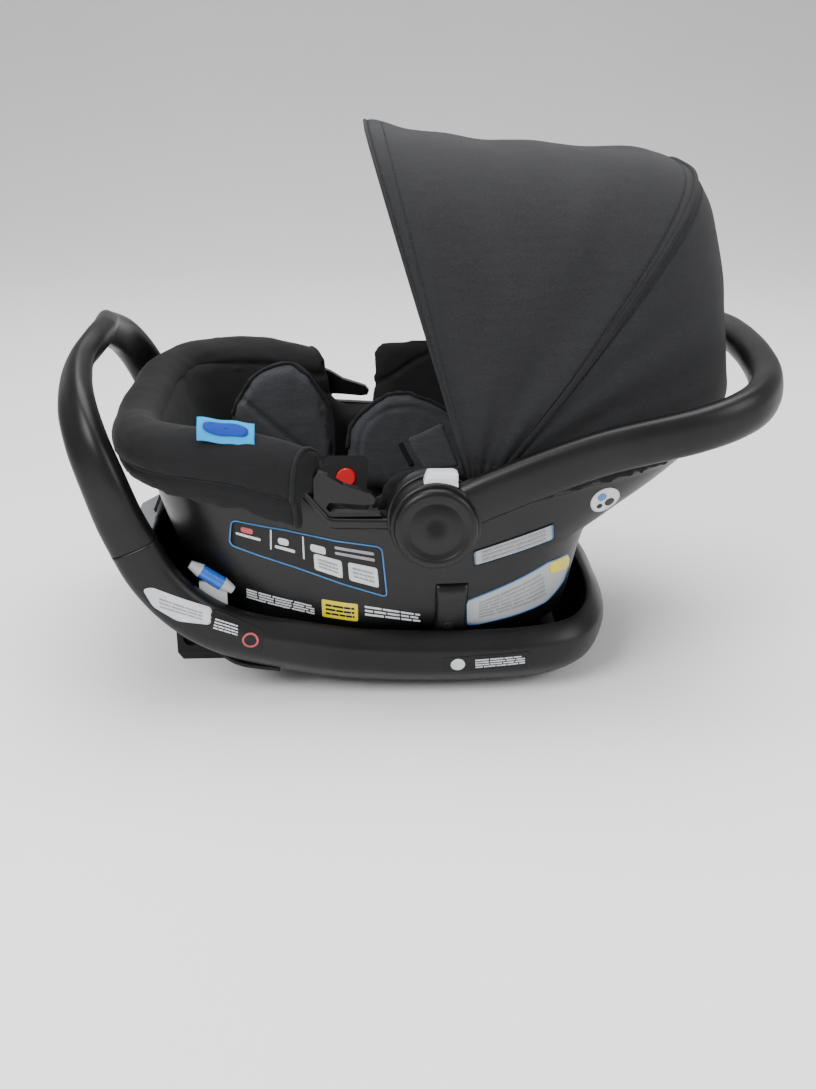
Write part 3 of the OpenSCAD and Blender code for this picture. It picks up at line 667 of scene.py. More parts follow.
def sweep(path, sections, sides):
    """Rings of sections along a path; sides says where each section's first axis looks."""
    sides = np.asarray(sides, float)
    t = unit(np.vstack([path[1:], path[-1]]) - np.vstack([path[0], path[:-1]]))
    s = unit(sides - (sides * t).sum(1)[:, None] * t)
    up = np.cross(s, t)
    return [path[i] + sections[i][:, :1] * s[i] + sections[i][:, 1:] * up[i]
            for i in range(len(path))]


def rounded(a, b, n, count, turn=0.0):
    """Rounded outline of half sizes a and b; turn is where round it the first point is."""
    u = np.linspace(0, 2 * math.pi, count, endpoint=False) + math.radians(turn)
    r = oval(np.cos(u), np.sin(u), a, b, n)
    return np.stack([r * np.cos(u), r * np.sin(u)], -1)


def build_side_member():
    path = mirror_path(spline(SIDE_LINE, 9))
    low = spline(LOW, 3, loop=True)
    bar = rounded(15, 23, 3, len(low), 22)
    f = smooth_interp(path[:, 0], [-282, -244, -120, 400], [0, .05, 1, 1])
    sections = [bar * (1 - q) + low * q for q in f]
    sides = np.array([[0, np.sign(y) or 1, 0] if x < 110 else [(x - 96) / 50, y / 90, 0]
                      for x, y, _ in path])
    mid = len(path) // 2
    sides[mid] = [1, 0, 0]
    # the side direction turns gradually into the rounded head end
    for _ in range(6):
        sides[1:-1] = (sides[:-2] + sides[1:-1] * 2 + sides[2:]) / 4
    return solid("side_member", sweep(path, sections, sides), BASE)


PANEL = [[-277, 152], [-262, 124], [-240, 97], [-225, 73], [-207, 50], [-187, 37], [-150, 31]]


def build_base():
    member = build_side_member()
    line = spline(PANEL, 5)
    panel = surface("foot_panel", [[[x, y, z] for y in np.linspace(-158, 158, 40)]
                                   for x, z in line], BASE)
    for y in (-90, -45, 0, 45, 90):
        groove(panel, [[x, y, z] for x, z in line], -1.5, 5)
    thicken(panel, 4, 0)
    deck = box_mesh("deck", (-152, -150, 29), (138, 150, 33), BASE, 1)
    return join("base_body", [member, panel, deck])


base = build_base()
place(base, "base", ["base_shell"])

BAR_LINE = [[-281.4, -172, 173], [-292, -174, 200], [-304, -174, 238], [-317, -163, 271],
            [-328, -138, 297], [-334, -105, 312], [-335, -70, 323], [-328, -35, 332],
            [-324, 0, 335]]


def build_loop():
    path = mirror_path(spline(BAR_LINE, 9))
    sections, sides = [], []
    for u in np.linspace(0, math.pi, len(path)):
        f = 1 - abs(2 * u / math.pi - 1)
        a = np.interp(f, [0, .5, 1], [15, 13, 11.5])
        b = np.interp(f, [0, .5, 1], [23, 20, 16])
        sections.append(rounded(a, b, 3, 40, 22))
        sides.append([-math.sin(u) * .8, -math.cos(u), .35 * math.sin(u)])
    return solid("loop_body", sweep(path, sections, sides), BASE)


loop = build_loop()
place(loop, "base", ["rebound_bar"])

ARM_LINE = [[14, -202, 211], [57, -203, 232], [147, -202, 266], [238, -197, 286],
            [284, -180, 297], [310, -148, 304], [323, -104, 311], [327, -52, 317], [328, 0, 319]]


def build_handle():
    path = mirror_path(spline(ARM_LINE, 10))
    sections, sides = [], []
    for u in np.linspace(0, math.pi, len(path)):
        f = 1 - abs(2 * u / math.pi - 1)
        a = smooth_interp(f, [0, .15, .3, .6, .75, 1], [10.5, 10.5, 11, 14, 16.5, 16])
        b = smooth_interp(f, [0, .15, .3, .6, .75, 1], [22, 22, 21, 21, 16.5, 15.5])
        sections.append(rounded(float(a), float(b), 2.6, 40))
        sides.append([math.sin(u), -math.cos(u), .18 * math.sin(u)])
    arm = solid("handle_body", sweep(path, sections, sides), HANDLE)
    hub = lathe("hub", [[0, 0], [38, 0], [41.2, .8], [42, 2], [42, 19], [41.2, 21], [39.2, 22],
                        [0, 22]], HANDLE, -191)
    return join("handle_body", [arm, hub, mirrored(hub, "hub_far")])


handle = build_handle()
place(handle, "handle", ["handle_tube"])
cap = lathe("cap", [[0, .2], [38.5, .2], [38.6, 3], [37.6, 5.2], [36, 6.6], [33.5, 7.6],
                    [31.5, 7.5], [30, 6.4], [28.6, 5.6], [26, 5.3], [25.2, 4.7], [24.2, 4.7],
                    [23.4, 5.3], [12, 5.9], [0, 6]], HANDLE, -213.2)
place(cap, "handle", ["hub_cap_near"])
far_cap = mirrored(cap, "cap_far")
place(far_cap, "handle", ["hub_cap_far"])


# ------------------------------------------------- CAD nodes that stay as is

FINISHES = {
    "base_pan": BASE, "bar_tenons": STEEL, "bar_lock": LEVER, "cradle_hooks": BASE,
    "level_housing": SILVER, "level_lens": BLUE, "level_ball": WHITE, "foot_rails": STEEL,
    "base_screws": STEEL, "recline_foot": BASE, "recline_lever": LEVER,
    "foam_liner": FOAM, "latch_bars": STEEL, "belt_guide_near": BLACK, "belt_guide_far": BLACK,
    "pivot_pin_near": STEEL, "pivot_pin_far": STEEL, "buckle_tongues": STEEL,
    "buckle_housing": DARKGREY, "buckle_button": RED, "chest_clip": DARKGREY,
    "splitter_plate": STEEL, "adjuster_housing": DARKGREY, "adjuster_button": LEVER,
    "release_handle": BLACK, "latch_links": STEEL, "canopy_socket_near": BLACK,
    "canopy_socket_far": BLACK, "canopy_rear_bow": DARKGREY, "canopy_front_bow": DARKGREY,
    "handle_button_near": GREY, "handle_button_far": GREY, "button_spring_near": STEEL,
    "button_spring_far": STEEL, "lock_disc_near": STEEL, "lock_disc_far": STEEL,
}
for name, mat in FINISHES.items():
    slots = NODES[name].data.materials
    if not slots:
        slots.append(mat)
    for i in range(len(slots)):
        slots[i] = mat


def box_mm(node):
    """Low corner, middle and high corner of a CAD node's box."""
    lo, hi = [np.array(c) * 1000 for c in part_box(node)]
    return lo, (lo + hi) / 2, hi


def button_cap(tag):
    """Crowned skin over a handle button's top."""
    lo, mid, hi = box_mm("handle_button_" + tag)
    foot, top = 236, hi[2]
    half = (hi - lo) / 2
    outline = rounded(half[0] - .5, half[1] - .3, 5, 64)
    rings = []
    for z, size in ((foot, .9), (237, .97), (240, 1), (246, 1), (249.5, .97), (251.7, .9),
                    (top, .74), (top + .3, .5), (top + .4, .2)):
        rings.append([[mid[0] + px * size + (z - foot) * .1, mid[1] + py * size, z]
                      for px, py in outline])
    o = solid("button_cap_" + tag, rings, GREY)
    smooth_by_angle(o, 60)
    place(o, "handle_button_" + tag)


def button_coil(tag):
    """Coil spring under a handle button; its lower end stays where it is."""
    wire_r, turns = .4, 4.5
    lo, mid, hi = box_mm("button_spring_" + tag)
    r = (hi[0] - lo[0]) / 2 - .5
    u = np.linspace(0, turns * 2 * math.pi, 160)
    wire = np.stack([mid[0] + r * np.cos(u), mid[1] + r * np.sin(u),
                     np.linspace(lo[2] + wire_r, hi[2] - wire_r, len(u))], -1)
    o = tube("button_coil_" + tag, wire, wire_r, STEEL, 8)
    place(o, "handle", ["button_spring_" + tag])
    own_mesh(o)


for tag in ("near", "far"):
    button_cap(tag)
for tag in ("near", "far"):
    button_coil(tag)


# ------------------------------------------------------------- padded cover

def cover_liner():
    """Layer that lines the whole shell and turns over its rim."""
    lining = -19.6
    rings = [shell_point(ANGLES, .22, lining - 6, 4)]
    rings += [shell_point(ANGLES, t, lining) for t in np.linspace(.3, .88, 12)]
    rings += [shell_point(ANGLES, .95, -9), shell_point(ANGLES, 1, -7, 2),
              shell_point(ANGLES, 1, -9, 6), shell_point(ANGLES, 1, -16, 7),
              shell_point(ANGLES, .97, -26, 4)]
    rings += [shell_point(ANGLES, t, lining - 9) for t in np.linspace(.88, .3, 12)]
    rings += [shell_point(ANGLES, .22, lining - 9, 14)]
    return solid("cover_liner", rings, COVER)


def ring_angle(x):
    """Angle of the rim at x on the far side."""
    u = np.linspace(.02, math.pi - .02, 2000)
    return float(u[np.argmin(np.abs(shell_point(u, 1)[:, 0] - x))])


FOOT_TOP = ([-292, -256, -210, -175, -140, -118], [278, 284, 286, 283, 275, 268])
FOOT_SEAM = ([-292, -273, -211, -176, -123], [247, 246, 244, 240, 225])
FOOT_LOW = ([-292, -281, -248, -213, -169, -118], [232, 230, 225, 219, 208, 196])


def flap(name, us, profile):
    """Roll along the rim: profile points are [distance out from the rim, height]."""
    rows = []
    for out, z in profile:
        q = shell_point(us, 1, out)
        q[:, 2] = z
        rows.append(q)
    return solid(name, np.array(rows).transpose(1, 0, 2), COVER)


FLAP_END = ring_angle(-118)


def foot_flap():
    us = np.linspace(FLAP_END, 2 * math.pi - FLAP_END, 150)
    p = shell_point(us, 1)
    x, rim = p[:, 0], p[:, 2]
    top, low = np.interp(x, *FOOT_TOP), np.interp(x, *FOOT_LOW)
    return flap("cover_foot", us, [
        (-29, top - 66), (-28, top - 44), (-26, top - 24), (-21, top - 9), (-11, top - 1),
        (2, top), (11, top - 5), (16.5, top - 15), (18, top - 28), (16, low + 30),
        (14, low + 12), (11, low + 3), (7, low), (4.5, low + 3), (4, low + 12), (3.5, rim - 4),
        (2, rim + 4.5), (-6, rim + 4), (-7.5, rim - 12), (-12, np.minimum(rim - 30, top - 42)),
        (-19, top - 64)])


def head_flap():
    end = ring_angle(60)
    us = np.linspace(-end, end, 120)
    rim = shell_point(us, 1)[:, 2]
    return flap("cover_head", us, [
        (-26, rim - 26), (-24, rim - 8), (-16, rim + 5), (-5, rim + 8.5), (4, rim + 8),
        (7.5, rim + 2), (7.5, rim - 7), (4, rim - 9), (2.8, rim - 4), (2.6, rim + 3),
        (-5, rim + 3.6), (-8, rim - 16)])


def pillow(name, outline, y_of, thick, mat):
    """Stuffed wing: an outline in XZ with crowned faces, at the height-dependent depth y_of."""
    line = spline(outline, 5, loop=True)
    c = line.mean(0)
    rows = []
    for k in range(-7, 8):
        s = k / 7
        size = .5 + .5 * (1 - abs(s) ** 2.6) ** .42 if abs(s) < 1 else .42
        q = c + (line - c) * size
        y = np.array([y_of(px, pz) for px, pz in q])
        rows.append(np.stack([q[:, 0], y + s * thick / 2, q[:, 1]], -1))
    return solid(name, rows, mat)


def slab(name, x0, x1, half, z0, z1, thick, mat):
    """Seat pad between the wings, a rounded rectangle on a slope."""
    lx, mx, mz = math.hypot(x1 - x0, z1 - z0) / 2, (x0 + x1) / 2, (z0 + z1) / 2
    a = math.atan2(z1 - z0, x1 - x0)
    rows = []
    for h, size in ((0, .8), (1, .93), (4, .99), (thick - 4, .99), (thick - 1, .93),
                    (thick, .8), (thick + 1, .4)):
        px, py = rounded(lx * size, half * size, 5, 96).T
        rows.append(np.stack([mx + px * math.cos(a) - h * math.sin(a), py,
                              mz + px * math.sin(a) + h * math.cos(a)], -1))
    return solid(name, rows, mat)


def round_poly(points, r, n=6):
    """Polygon in 2D with rounded corners."""
    p = [np.array(q, float) for q in points]
    out = []
    for i in range(len(p)):
        a, b, c = p[i - 1], p[i], p[(i + 1) % len(p)]
        u, v = unit(a - b), unit(c - b)
        d = min(r, np.linalg.norm(a - b) * .45, np.linalg.norm(c - b) * .45)
        s, e = b + u * d, b + v * d
        for k in range(n + 1):
            t = k / n
            out.append((1 - t) ** 2 * s + 2 * t * (1 - t) * b + t * t * e)
    return np.array(out)


def surface_line(o, line, lift):
    """Drops a line of XZ points onto the piece's face that looks to the near side."""
    bvh = BVHTree.FromObject(o, bpy.context.evaluated_depsgraph_get())
    out = []
    for x, z in line:
        hit = bvh.ray_cast(Vector((x / 1000, -.4, z / 1000)), Vector((0, 1, 0)))
        if hit[0] is not None:
            out.append(np.array(hit[0]) * 1000 + np.array([0, -lift, 0]))
    return np.array(out)


def stitches(name, line, length, gap, r):
    """Row of short raised threads along a line in mm."""
    sides = 5
    seg = np.linalg.norm(np.diff(line, axis=0), axis=1)
    s = np.concatenate([[0], np.cumsum(seg)])
    verts, faces = [], []
    pos = 0.0
    while pos + length < s[-1]:
        ends = [np.array([np.interp(q, s, line[:, k]) for k in range(3)])
                for q in (pos, pos + length)]
        t = unit(ends[1] - ends[0])
        up = np.array([0, 0, 1.0]) if abs(t[2]) < .8 else np.array([1.0, 0, 0])
        a = unit(np.cross(t, up))
        b = np.cross(t, a)
        k = len(verts)
        for f, rr in ((0, .3), (.2, 1), (.8, 1), (1, .3)):
            c = ends[0] * (1 - f) + ends[1] * f
            verts += [c + (a * math.cos(q) + b * math.sin(q)) * r * rr
                      for q in np.arange(sides) * 2 * math.pi / sides]
        faces += [tuple(k + i for i in f) for f in grid_faces(4, sides, loop_v=True)]
        faces += [tuple(range(k, k + sides)), tuple(range(k + 3 * sides, k + 4 * sides))]
        pos += length + gap
    o = mesh(name, verts, faces, THREAD)
    fix_normals(o)
    return o


def place_cover(o):
    place(o, "carrier", ["seat_pad"])


liner = cover_liner()
cut_box(liner, (-184, -32, 30), (-114, 32, 110))
cut_box(liner, (-98, -26, 30), (-58, 26, 110))
puff(liner, 7, 2, 12, 2.5)
# room behind the liner for the release handle's stroke
co = vertex_array(liner)
room = np.clip((co[:, 0] - .12) / .02, 0, 1) * np.clip((.065 - np.abs(co[:, 1])) / .015, 0, 1)
co[:, 0] -= .005 * room * np.clip((co[:, 2] - .09) / .02, 0, 1)
set_vertices(liner, co)
wrinkle(liner, 1.2, 14, 3.1)
place_cover(liner)

foot = foot_flap()
puff(foot, 5, 4, 18, 5)
SEAM_END = ring_angle(-121)


def foot_line(out, heights, lift=0.0):
    """Line along the foot roll at a distance out from the rim, with heights given over X."""
    q = shell_point(np.linspace(SEAM_END, 2 * math.pi - SEAM_END, 120), 1, out)
    return np.stack([q[:, 0], q[:, 1], np.interp(q[:, 0], *heights) + lift], -1)


seam = foot_line(17, FOOT_SEAM)
groove(foot, seam, 3.2, 2.8)
seam_cord = tube("cover_seam", hug(foot, seam, -.6), 1.5, PIPING, 8)
place_cover(seam_cord)
end_x, end_y, _ = shell_point(SEAM_END, 1, 17)
for y in (end_y, -end_y):
    groove(foot, [[end_x - 10, y, z] for z in np.linspace(200, 262, 8)], 1.6, 2.2)
groove(foot, foot_line(-24, FOOT_TOP, -24), 3, 4)
wrinkle(foot, 1.6, 22, 7.7, (1, 1, .5))
place_cover(foot)

head = head_flap()
puff(head, 5, 3, 14, 3)
wrinkle(head, 1.0, 20, 5.2)
place_cover(head)

# head-end cover standing at the rim beside the shoulders, higher on the far side
SIDE_FAR = [(-50, 188), (-52, 206), (-50, 240), (-47, 266), (-38, 280), (-16, 283), (20, 284),
            (70, 274), (104, 250), (108, 215), (100, 180), (20, 168)]
SIDE_NEAR = [(-46, 188), (-49, 208), (-44, 224), (-30, 235), (-8, 240), (20, 242), (70, 250),
             (104, 240), (108, 215), (100, 180), (20, 168)]
SIDE_SEAM = [(-52, 232), (-30, 244), (-2, 262), (30, 276)]


def side_depth(x, z):
    return 150 + .1 * (z - 180) if z < 230 else 155 + .16 * (z - 230)


for tag, outline in (("far", SIDE_FAR), ("near", SIDE_NEAR)):
    o = pillow("cover_side_" + tag, outline, side_depth, 12, COVER)
    puff(o, 4.5, 2, 12, 3)
    if tag == "far":
        groove(o, surface_line(o, spline(SIDE_SEAM, 8), 0), 3, 2.6)
    else:
        o.data.transform(FLIP)
        o.data.flip_normals()
    wrinkle(o, 1.5, 24, 6.6)
    place_cover(o)

# binding round each end of the foot roll: [distance out from the rim, height]
BINDING = [(-20, 258), (-11, 266), (2, 268), (11, 263), (16, 253), (17.6, 240), (16.4, 226),
           (14.6, 210), (11.4, 199), (7, 195.5)]
for tag, u in (("near", -FLAP_END), ("far", FLAP_END)):
    line = [[*(shell_point(u, 1, out)[:2] - (1.6, 0)), z] for out, z in BINDING]
    o = tube("cover_binding_" + tag, hug(foot, spline(line, 6), .6), 2.0, PIPING, 10)
    place_cover(o)


# ------------------------------------------------------------------- inserts

# Each insert's wing: outline in XZ, corners that the piping follows, lean as
# (low Z, high Z, low Y, high Y), sewn crease with its depth and width, seed of
# the wrinkles, and how the near wing is pushed in and along X.
WINGS = {
    "seat": dict(
        outline=[(-214, 214), (-204, 239), (-184, 260), (-150, 273), (-122, 261), (-100, 234),
                 (-91, 204), (-92, 160), (-102, 128), (-150, 116), (-196, 128), (-213, 170)],
        piped=8, lean=(112, 262, 102, 120),
        crease=[(-204, 238), (-175, 214), (-140, 184), (-96, 150)], pressed=(3.4, 3.2),
        seed=2.2, near_size=1, near_x=0),
    "body": dict(
        outline=[(-86, 172), (-80, 198), (-59, 219), (-37, 233), (-12, 236), (15, 227),
                 (45, 212), (70, 190), (76, 160), (66, 130), (10, 116), (-60, 122), (-82, 142)],
        piped=9, lean=(112, 224, 104, 124),
        crease=[(-70, 150), (-62, 195), (-36, 216), (0, 218), (40, 202)], pressed=(2, 3),
        seed=9.4, near_size=.62, near_x=.022),
}
PATCH_OUTLINE = [(-12, 185), (27, 201), (46, 153), (8, 148)]
SLOT_LINE = [(-21, 180), (-15, 168), (-8, 155)]


def build_wing(tag, outline, piped, lean, crease, pressed, seed, near_size, near_x):
    z0, z1, y0, y1 = lean
    settle = (Matrix.Translation((near_x, -.008, .011))
              @ Matrix.Diagonal((near_size, 1, .88, 1)))

    def depth(x, z):
        return y0 + (y1 - y0) * (z - z0) / (z1 - z0)

    def both(o, far_name):
        """Adds the near side's copy and puts both in place."""
        near = mirrored(o, far_name.replace("_far", "_near"))
        near.data.transform(settle)
        for piece in (o, near):
            place(piece, "carrier", [tag + "_insert"])

    name = "insert_" + tag + "_far"
    wing = pillow(name, outline, depth, 19, INSERT)
    puff(wing, 4.5, 4, 18, 6)
    groove(wing, surface_line(wing, spline(crease, 8), 0), *pressed)
    wrinkle(wing, 1.3, 30, seed)
    both(wing, name)
    centre = np.array(outline).mean(0)
    edge = centre + (spline(outline[:piped], 6) - centre) * .985
    line = np.array([[x, depth(x, z) - 5.5, z] for x, z in edge])
    name = "insert_" + tag + "_piping_far"
    both(tube(name, hug(wing, line, .8), 2.7, PIPING, 10, twist=1.1), name)
    if tag == "body":
        corners = round_poly(PATCH_OUTLINE, 4, 8)
        c = corners.mean(0)
        rows = [surface_line(wing, c + (corners - c) * s, 1.2 if s < 1 else .2)
                for s in (1, .96, .8, .6, .4, .2, .05)]
        both(solid("insert_patch_far", rows, PATCH), "insert_patch_far")
        lip = surface_line(wing, spline(SLOT_LINE, 8), .6)
        both(tube("insert_slot_far", lip, 3.2, PIPING, 10, squash=.6), "insert_slot_far")


for tag, values in WINGS.items():
    build_wing(tag, **values)

# pads between the wings, with the places cut where the straps come through
MIDDLES = {
    "seat": ((-194, -100, 104, 112, 108, 12), [((-112, -32, 90), (-60, 32, 150))]),
    "body": ((-62, 96, 106, 102, 150, 12), [((49, -45, 90), (73, -15, 220)),
                                            ((49, 15, 90), (73, 45, 220))]),
}
for tag, (sizes, cuts) in MIDDLES.items():
    o = slab("insert_" + tag + "_middle", *sizes, INSERT)
    for lo, hi in cuts:
        cut_box(o, lo, hi)
    puff(o, 4.5, 3, 12, 3)
    place(o, "carrier", [tag + "_insert"])


# ------------------------------------------------------------------- harness

WEB_T = 1.8


def strap(name, path, y, width, node):
    """Woven strap with rolled selvedges along a path in XZ."""
    p = spline(path, 10)
    t = unit(np.vstack([p[1:], p[-1]]) - np.vstack([p[0], p[:-1]]))
    up = np.stack([-t[:, 1], t[:, 0]], -1)
    half, h = width / 2, WEB_T / 2
    roll = h * 1.25
    sec = [(-half, 0), (-half + .5, roll), (-half + 2.5, roll), (-half + 3.2, h), (half - 3.2, h),
           (half - 2.5, roll), (half - .5, roll), (half, 0), (half - .5, -h), (-half + .5, -h)]
    rows = [[[q[0] + n[0] * b, y + a, q[1] + n[1] * b] for a, b in sec] for q, n in zip(p, up)]
    place(solid(name, rows, WEBBING), "carrier", [node])


SHOULDER = [[62, 128], [61, 146], [54, 160], [40, 164], [24, 158], [0, 146], [-28, 138],
            [-54, 134]]
CROTCH = [[-79, 50], [-79, 84], [-80, 106], [-82, 124]]
for tag, y in (("near", -30), ("far", 30)):
    strap("harness_" + tag, SHOULDER, y, 24, "harness_straps")
strap("crotch_webbing", CROTCH, 0, 38, "crotch_strap")


# -------------------------------------------------------------------- canopy

# The canopy's outline from the side: distance from its pivot over the angle in
# degrees above the head end, from the rear edge to the hem of the front bow.
CANOPY_ROWS = np.array([[9, 256], [13, 266], [17, 274], [20, 278], [22, 281], [27, 289],
                        [32, 299], [38, 314], [44, 331], [49, 346], [53, 354], [57.5, 346],
                        [66, 325], [75, 311], [85, 304], [96, 311], [107, 335]])
CANOPY_X, CANOPY_Z, CANOPY_HALF = 40, 214, 184
REAR_EDGE, REAR_BOW, HEM = 9, 53, 107


def canopy_point(a, w, out=0.0):
    """Point at angle a and share w of the way over from the near side to the far side."""
    a, w = np.broadcast_arrays(np.asarray(a, float), np.asarray(w, float))
    top = smooth_interp(a, CANOPY_ROWS[:, 0], CANOPY_ROWS[:, 1]) + out
    square = np.interp(a, [17, 50, HEM], [3, 2.9, 3.4])
    v = np.radians(7 + 166 * w)
    r = oval(np.cos(v), np.sin(v), CANOPY_HALF + out, top, square)
    d, q = r * np.sin(v), np.radians(a)
    return np.stack([CANOPY_X + d * np.cos(q), -r * np.cos(v), CANOPY_Z + d * np.sin(q)], -1)


def bell(x, middle, width):
    return np.exp(-((x - middle) / width) ** 2)


def canopy_folds(a, w):
    """Outward displacement of the cloth: tension folds fanning from the pivots and the bow."""
    fan = np.clip((HEM - a) / 50, 0, 1) * np.clip((a - 56) / 10, 0, 1)
    edge = np.minimum(w, 1 - w)
    h = (5.5 * fan * bell(edge, .16, .13) * np.sin((a - 60) * .19 + edge * 17)
         * np.where(w < .5, 1, .8))
    h += 4.0 * fan * bell(edge, .3, .1) * np.sin((a - 50) * .31 - edge * 21 + 1.2)
    rear = np.clip((REAR_BOW - a) / 8, 0, 1)
    h += 1.8 * rear * np.sin(a * .5 + edge * 30) * bell(edge, .2, .16)
    # the cloth pulls in behind the front bow and stands proud over it
    h += 1.2 * bell(a, 105.3, 1.6) - 1.5 * bell(a, 101, 2.2)
    slack = np.array([noise.noise(Vector((p * .11, q * 9, 4.2)))
                      for p, q in zip(np.ravel(a), np.ravel(w))])
    return h + 3.4 * slack.reshape(np.shape(a))


HEM_STITCHES = (.55, 2.75)    # degrees behind the hem


def build_canopy():
    # rows lie closer together over the two bows
    a = np.unique(np.concatenate([np.linspace(REAR_EDGE, 50, 74), np.linspace(50, 57, 26),
                                  np.linspace(57, 103, 110), np.linspace(103, HEM, 22)]))
    ga, gw = np.meshgrid(a, np.linspace(0, 1, 200), indexing="ij")
    fold = canopy_folds(ga, gw)
    # two stitched lines hold the hem, and the seam over the rear bow is pulled in
    for at in HEM_STITCHES:
        fold -= .9 * bell(HEM - ga, at, .16)
    fold -= 1.3 * bell(ga, 51.6, .35) + 1.3 * bell(ga, 54.4, .35)
    fold -= .8 * bell(np.minimum(gw, 1 - gw), .03, .003)
    return surface("canopy_sheet", lifted(ga, gw, fold), CANOPY)


def lifted(a, w, height):
    """Canopy points moved out by height."""
    base = canopy_point(a, w)
    return base + unit(canopy_point(a, w, 1.0) - base) * height[..., None]


canopy = build_canopy()
thicken(canopy, 1.3, -1)


def canopy_line(angle, out):
    """Line over the canopy from side to side, on the folded cloth."""
    w = np.linspace(.002, .998, 220)
    a = np.full(w.shape, float(angle))
    return lifted(a, w, canopy_folds(a, w) + out)


rear_cord = tube("canopy_piping", canopy_line(REAR_BOW, 1.0), 2.5, PIPING, 10)
hem_cord = tube("canopy_hem", canopy_line(HEM - .1, -.6), 1.7, CANOPY, 8)
thread = join("canopy_stitching", [
    stitches("canopy_stitch", canopy_line(at, out), 3.0, 1.5, .4)
    for at, out in [(HEM - d, -.2) for d in HEM_STITCHES] + [(51.2, -.3), (54.8, -.3)]])
for o in (canopy, rear_cord, hem_cord, thread):
    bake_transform(o)
    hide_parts("canopy_fabric")


# ------------------------------------------------------------- labels and tag

def dense(line, step=3.0):
    """Closed outline with points no further apart than about twice the step."""
    line = np.asarray(line, float)
    out = []
    for a, b in zip(line, np.roll(line, -1, 0)):
        k = max(1, int(np.linalg.norm(b - a) / step))
        out += [a + (b - a) * i / k for i in range(k)]
    return np.array(out)


def inset(points, d):
    """Moves each corner of a polygon inwards by about d."""
    p = np.array(points, float)
    c = p.mean(0)
    v = c - p
    return p + unit(v) * d * 1.35


def quad(points, s0, s1, t0, t1):
    """Part of a four-sided panel, from fractions along and up it."""
    a, b, c, d = [np.array(q, float) for q in points]

    def at(s, t):
        return (a * (1 - s) + b * s) * (1 - t) + (d * (1 - s) + c * s) * t
    return [at(s0, t0), at(s1, t0), at(s1, t1), at(s0, t1)]


def circle(x, z, r):
    turn = np.linspace(0, 2 * math.pi, 40, endpoint=False)
    return np.stack([x + r * np.cos(turn), z + r * np.sin(turn)], -1)


class Stickers:
    """Stickers on a piece's near side, from outlines in XZ; out is their height in mm."""

    def __init__(self, o):
        self.bvh = BVHTree.FromObject(o, bpy.context.evaluated_depsgraph_get())
        self.parts = []

    def ring(self, line, out):
        """Points a little above the surface met from the near side."""
        ring = []
        for x, z in line:
            q, n, _, _ = self.bvh.ray_cast(Vector((x / 1000, -.4, z / 1000)), Vector((0, 1, 0)))
            if q is None:
                ring.append(np.array([x, -190.0, z]))
            else:
                ring.append(np.array(q) * 1000 + np.array(n) * (-1 if n[1] > 0 else 1) * out)
        return ring

    def patch(self, outline, out, mat, corner=0, n=6):
        """Thin filled sticker, its corners rounded if a radius is given."""
        line = dense(round_poly(outline, corner, n) if corner else outline)
        c = line.mean(0)
        sizes = (.04, .12, .2, .28, .36, .44, .52, .6, .68, .76, .84, .92, 1.0)
        rows = [self.ring(c + (line - c) * s, 0) for s in sizes]
        rows += [self.ring(c + (line - c) * s, out) for s in sizes[::-1]]
        self.parts.append(solid("decal", rows, mat))

    def band(self, outline, width, out, mat, corner=0):
        """Printed outline along the edge of a sticker."""
        line = dense(round_poly(outline, corner) if corner else outline)
        t = unit(np.roll(line, -1, 0) - np.roll(line, 1, 0))
        n = np.stack([-t[:, 1], t[:, 0]], -1)
        if ((line.mean(0) - line[0]) @ n[0]) < 0:
            n = -n
        rows = [self.ring(line + n * d, o)
                for d, o in ((0, 0), (0, out), (width, out), (width, 0))]
        self.parts.append(surface("band", rows, mat, loop_v=True, loop_u=True))

    def bars(self, panel, count, mat, out, seed, box=(.06, .94, .1, .9)):
        """Plain bars where the real label carries print."""
        rnd = np.random.default_rng(seed)
        s0, s1, t0, t1 = box
        h = (t1 - t0) / count
        for i in range(count):
            t = t1 - h * (i + .8)
            s = s0
            while s < s1 - .04:
                e = min(s1, s + rnd.uniform(.12, .3))
                self.patch(quad(panel, s, e, t, t + h * .5), out, mat)
                s = e + .02

    def finish(self, name, body, node):
        place(join(name, self.parts), body, [node])


on_shell = Stickers(shell)
# upper foot-end panel, with its pictures left as plain blocks
LEFT = [(-194, 166), (-120, 140), (-43, 111), (-48, 170), (-190, 195)]
STRIP = [LEFT[0], *LEFT[2:]]
on_shell.patch(LEFT, .3, INK, 7)
on_shell.band(LEFT, 1.5, .6, LBLUE, 7)
for k in (.26, .47):
    on_shell.patch(quad(STRIP, k, k + .01, .34, .92), .6, WHITE)
for s0, s1, t0, t1, mat in ((.04, .2, .5, .58, WHITE), (.07, .15, .64, .82, LRED),
                            (.29, .42, .42, .5, WHITE), (.31, .38, .56, .74, WHITE),
                            (.52, .62, .6, .78, WHITE), (.68, .94, .68, .74, LINE),
                            (.68, .94, .8, .86, LINE)):
    on_shell.patch(quad(STRIP, s0, s1, t0, t1), .6, mat, 3, 4)
for s0, s1 in ((.54, .72), (.76, .95)):
    box = quad(STRIP, s0, s1, .16, .56)
    on_shell.patch(box, .6, WHITE, 3, 4)
    on_shell.bars(inset(box, 2.5), 3, LINE, .8, 2)
# two rows of print with the yellow panel between them
on_shell.bars([(-185, 104), (-110, 86), (-110, 101), (-184, 120)], 4, WHITE, .4, 3)
on_shell.bars([(-69, 88), (-7, 77), (-8, 92), (-69, 106)], 3, WHITE, .4, 5)
YEL = [(-107, 87), (-72, 82), (-72, 104), (-107, 109)]
on_shell.patch(YEL, .4, YELLOW, 2)
on_shell.bars(YEL, 3, INK, .55, 8, (.1, .9, .15, .85))
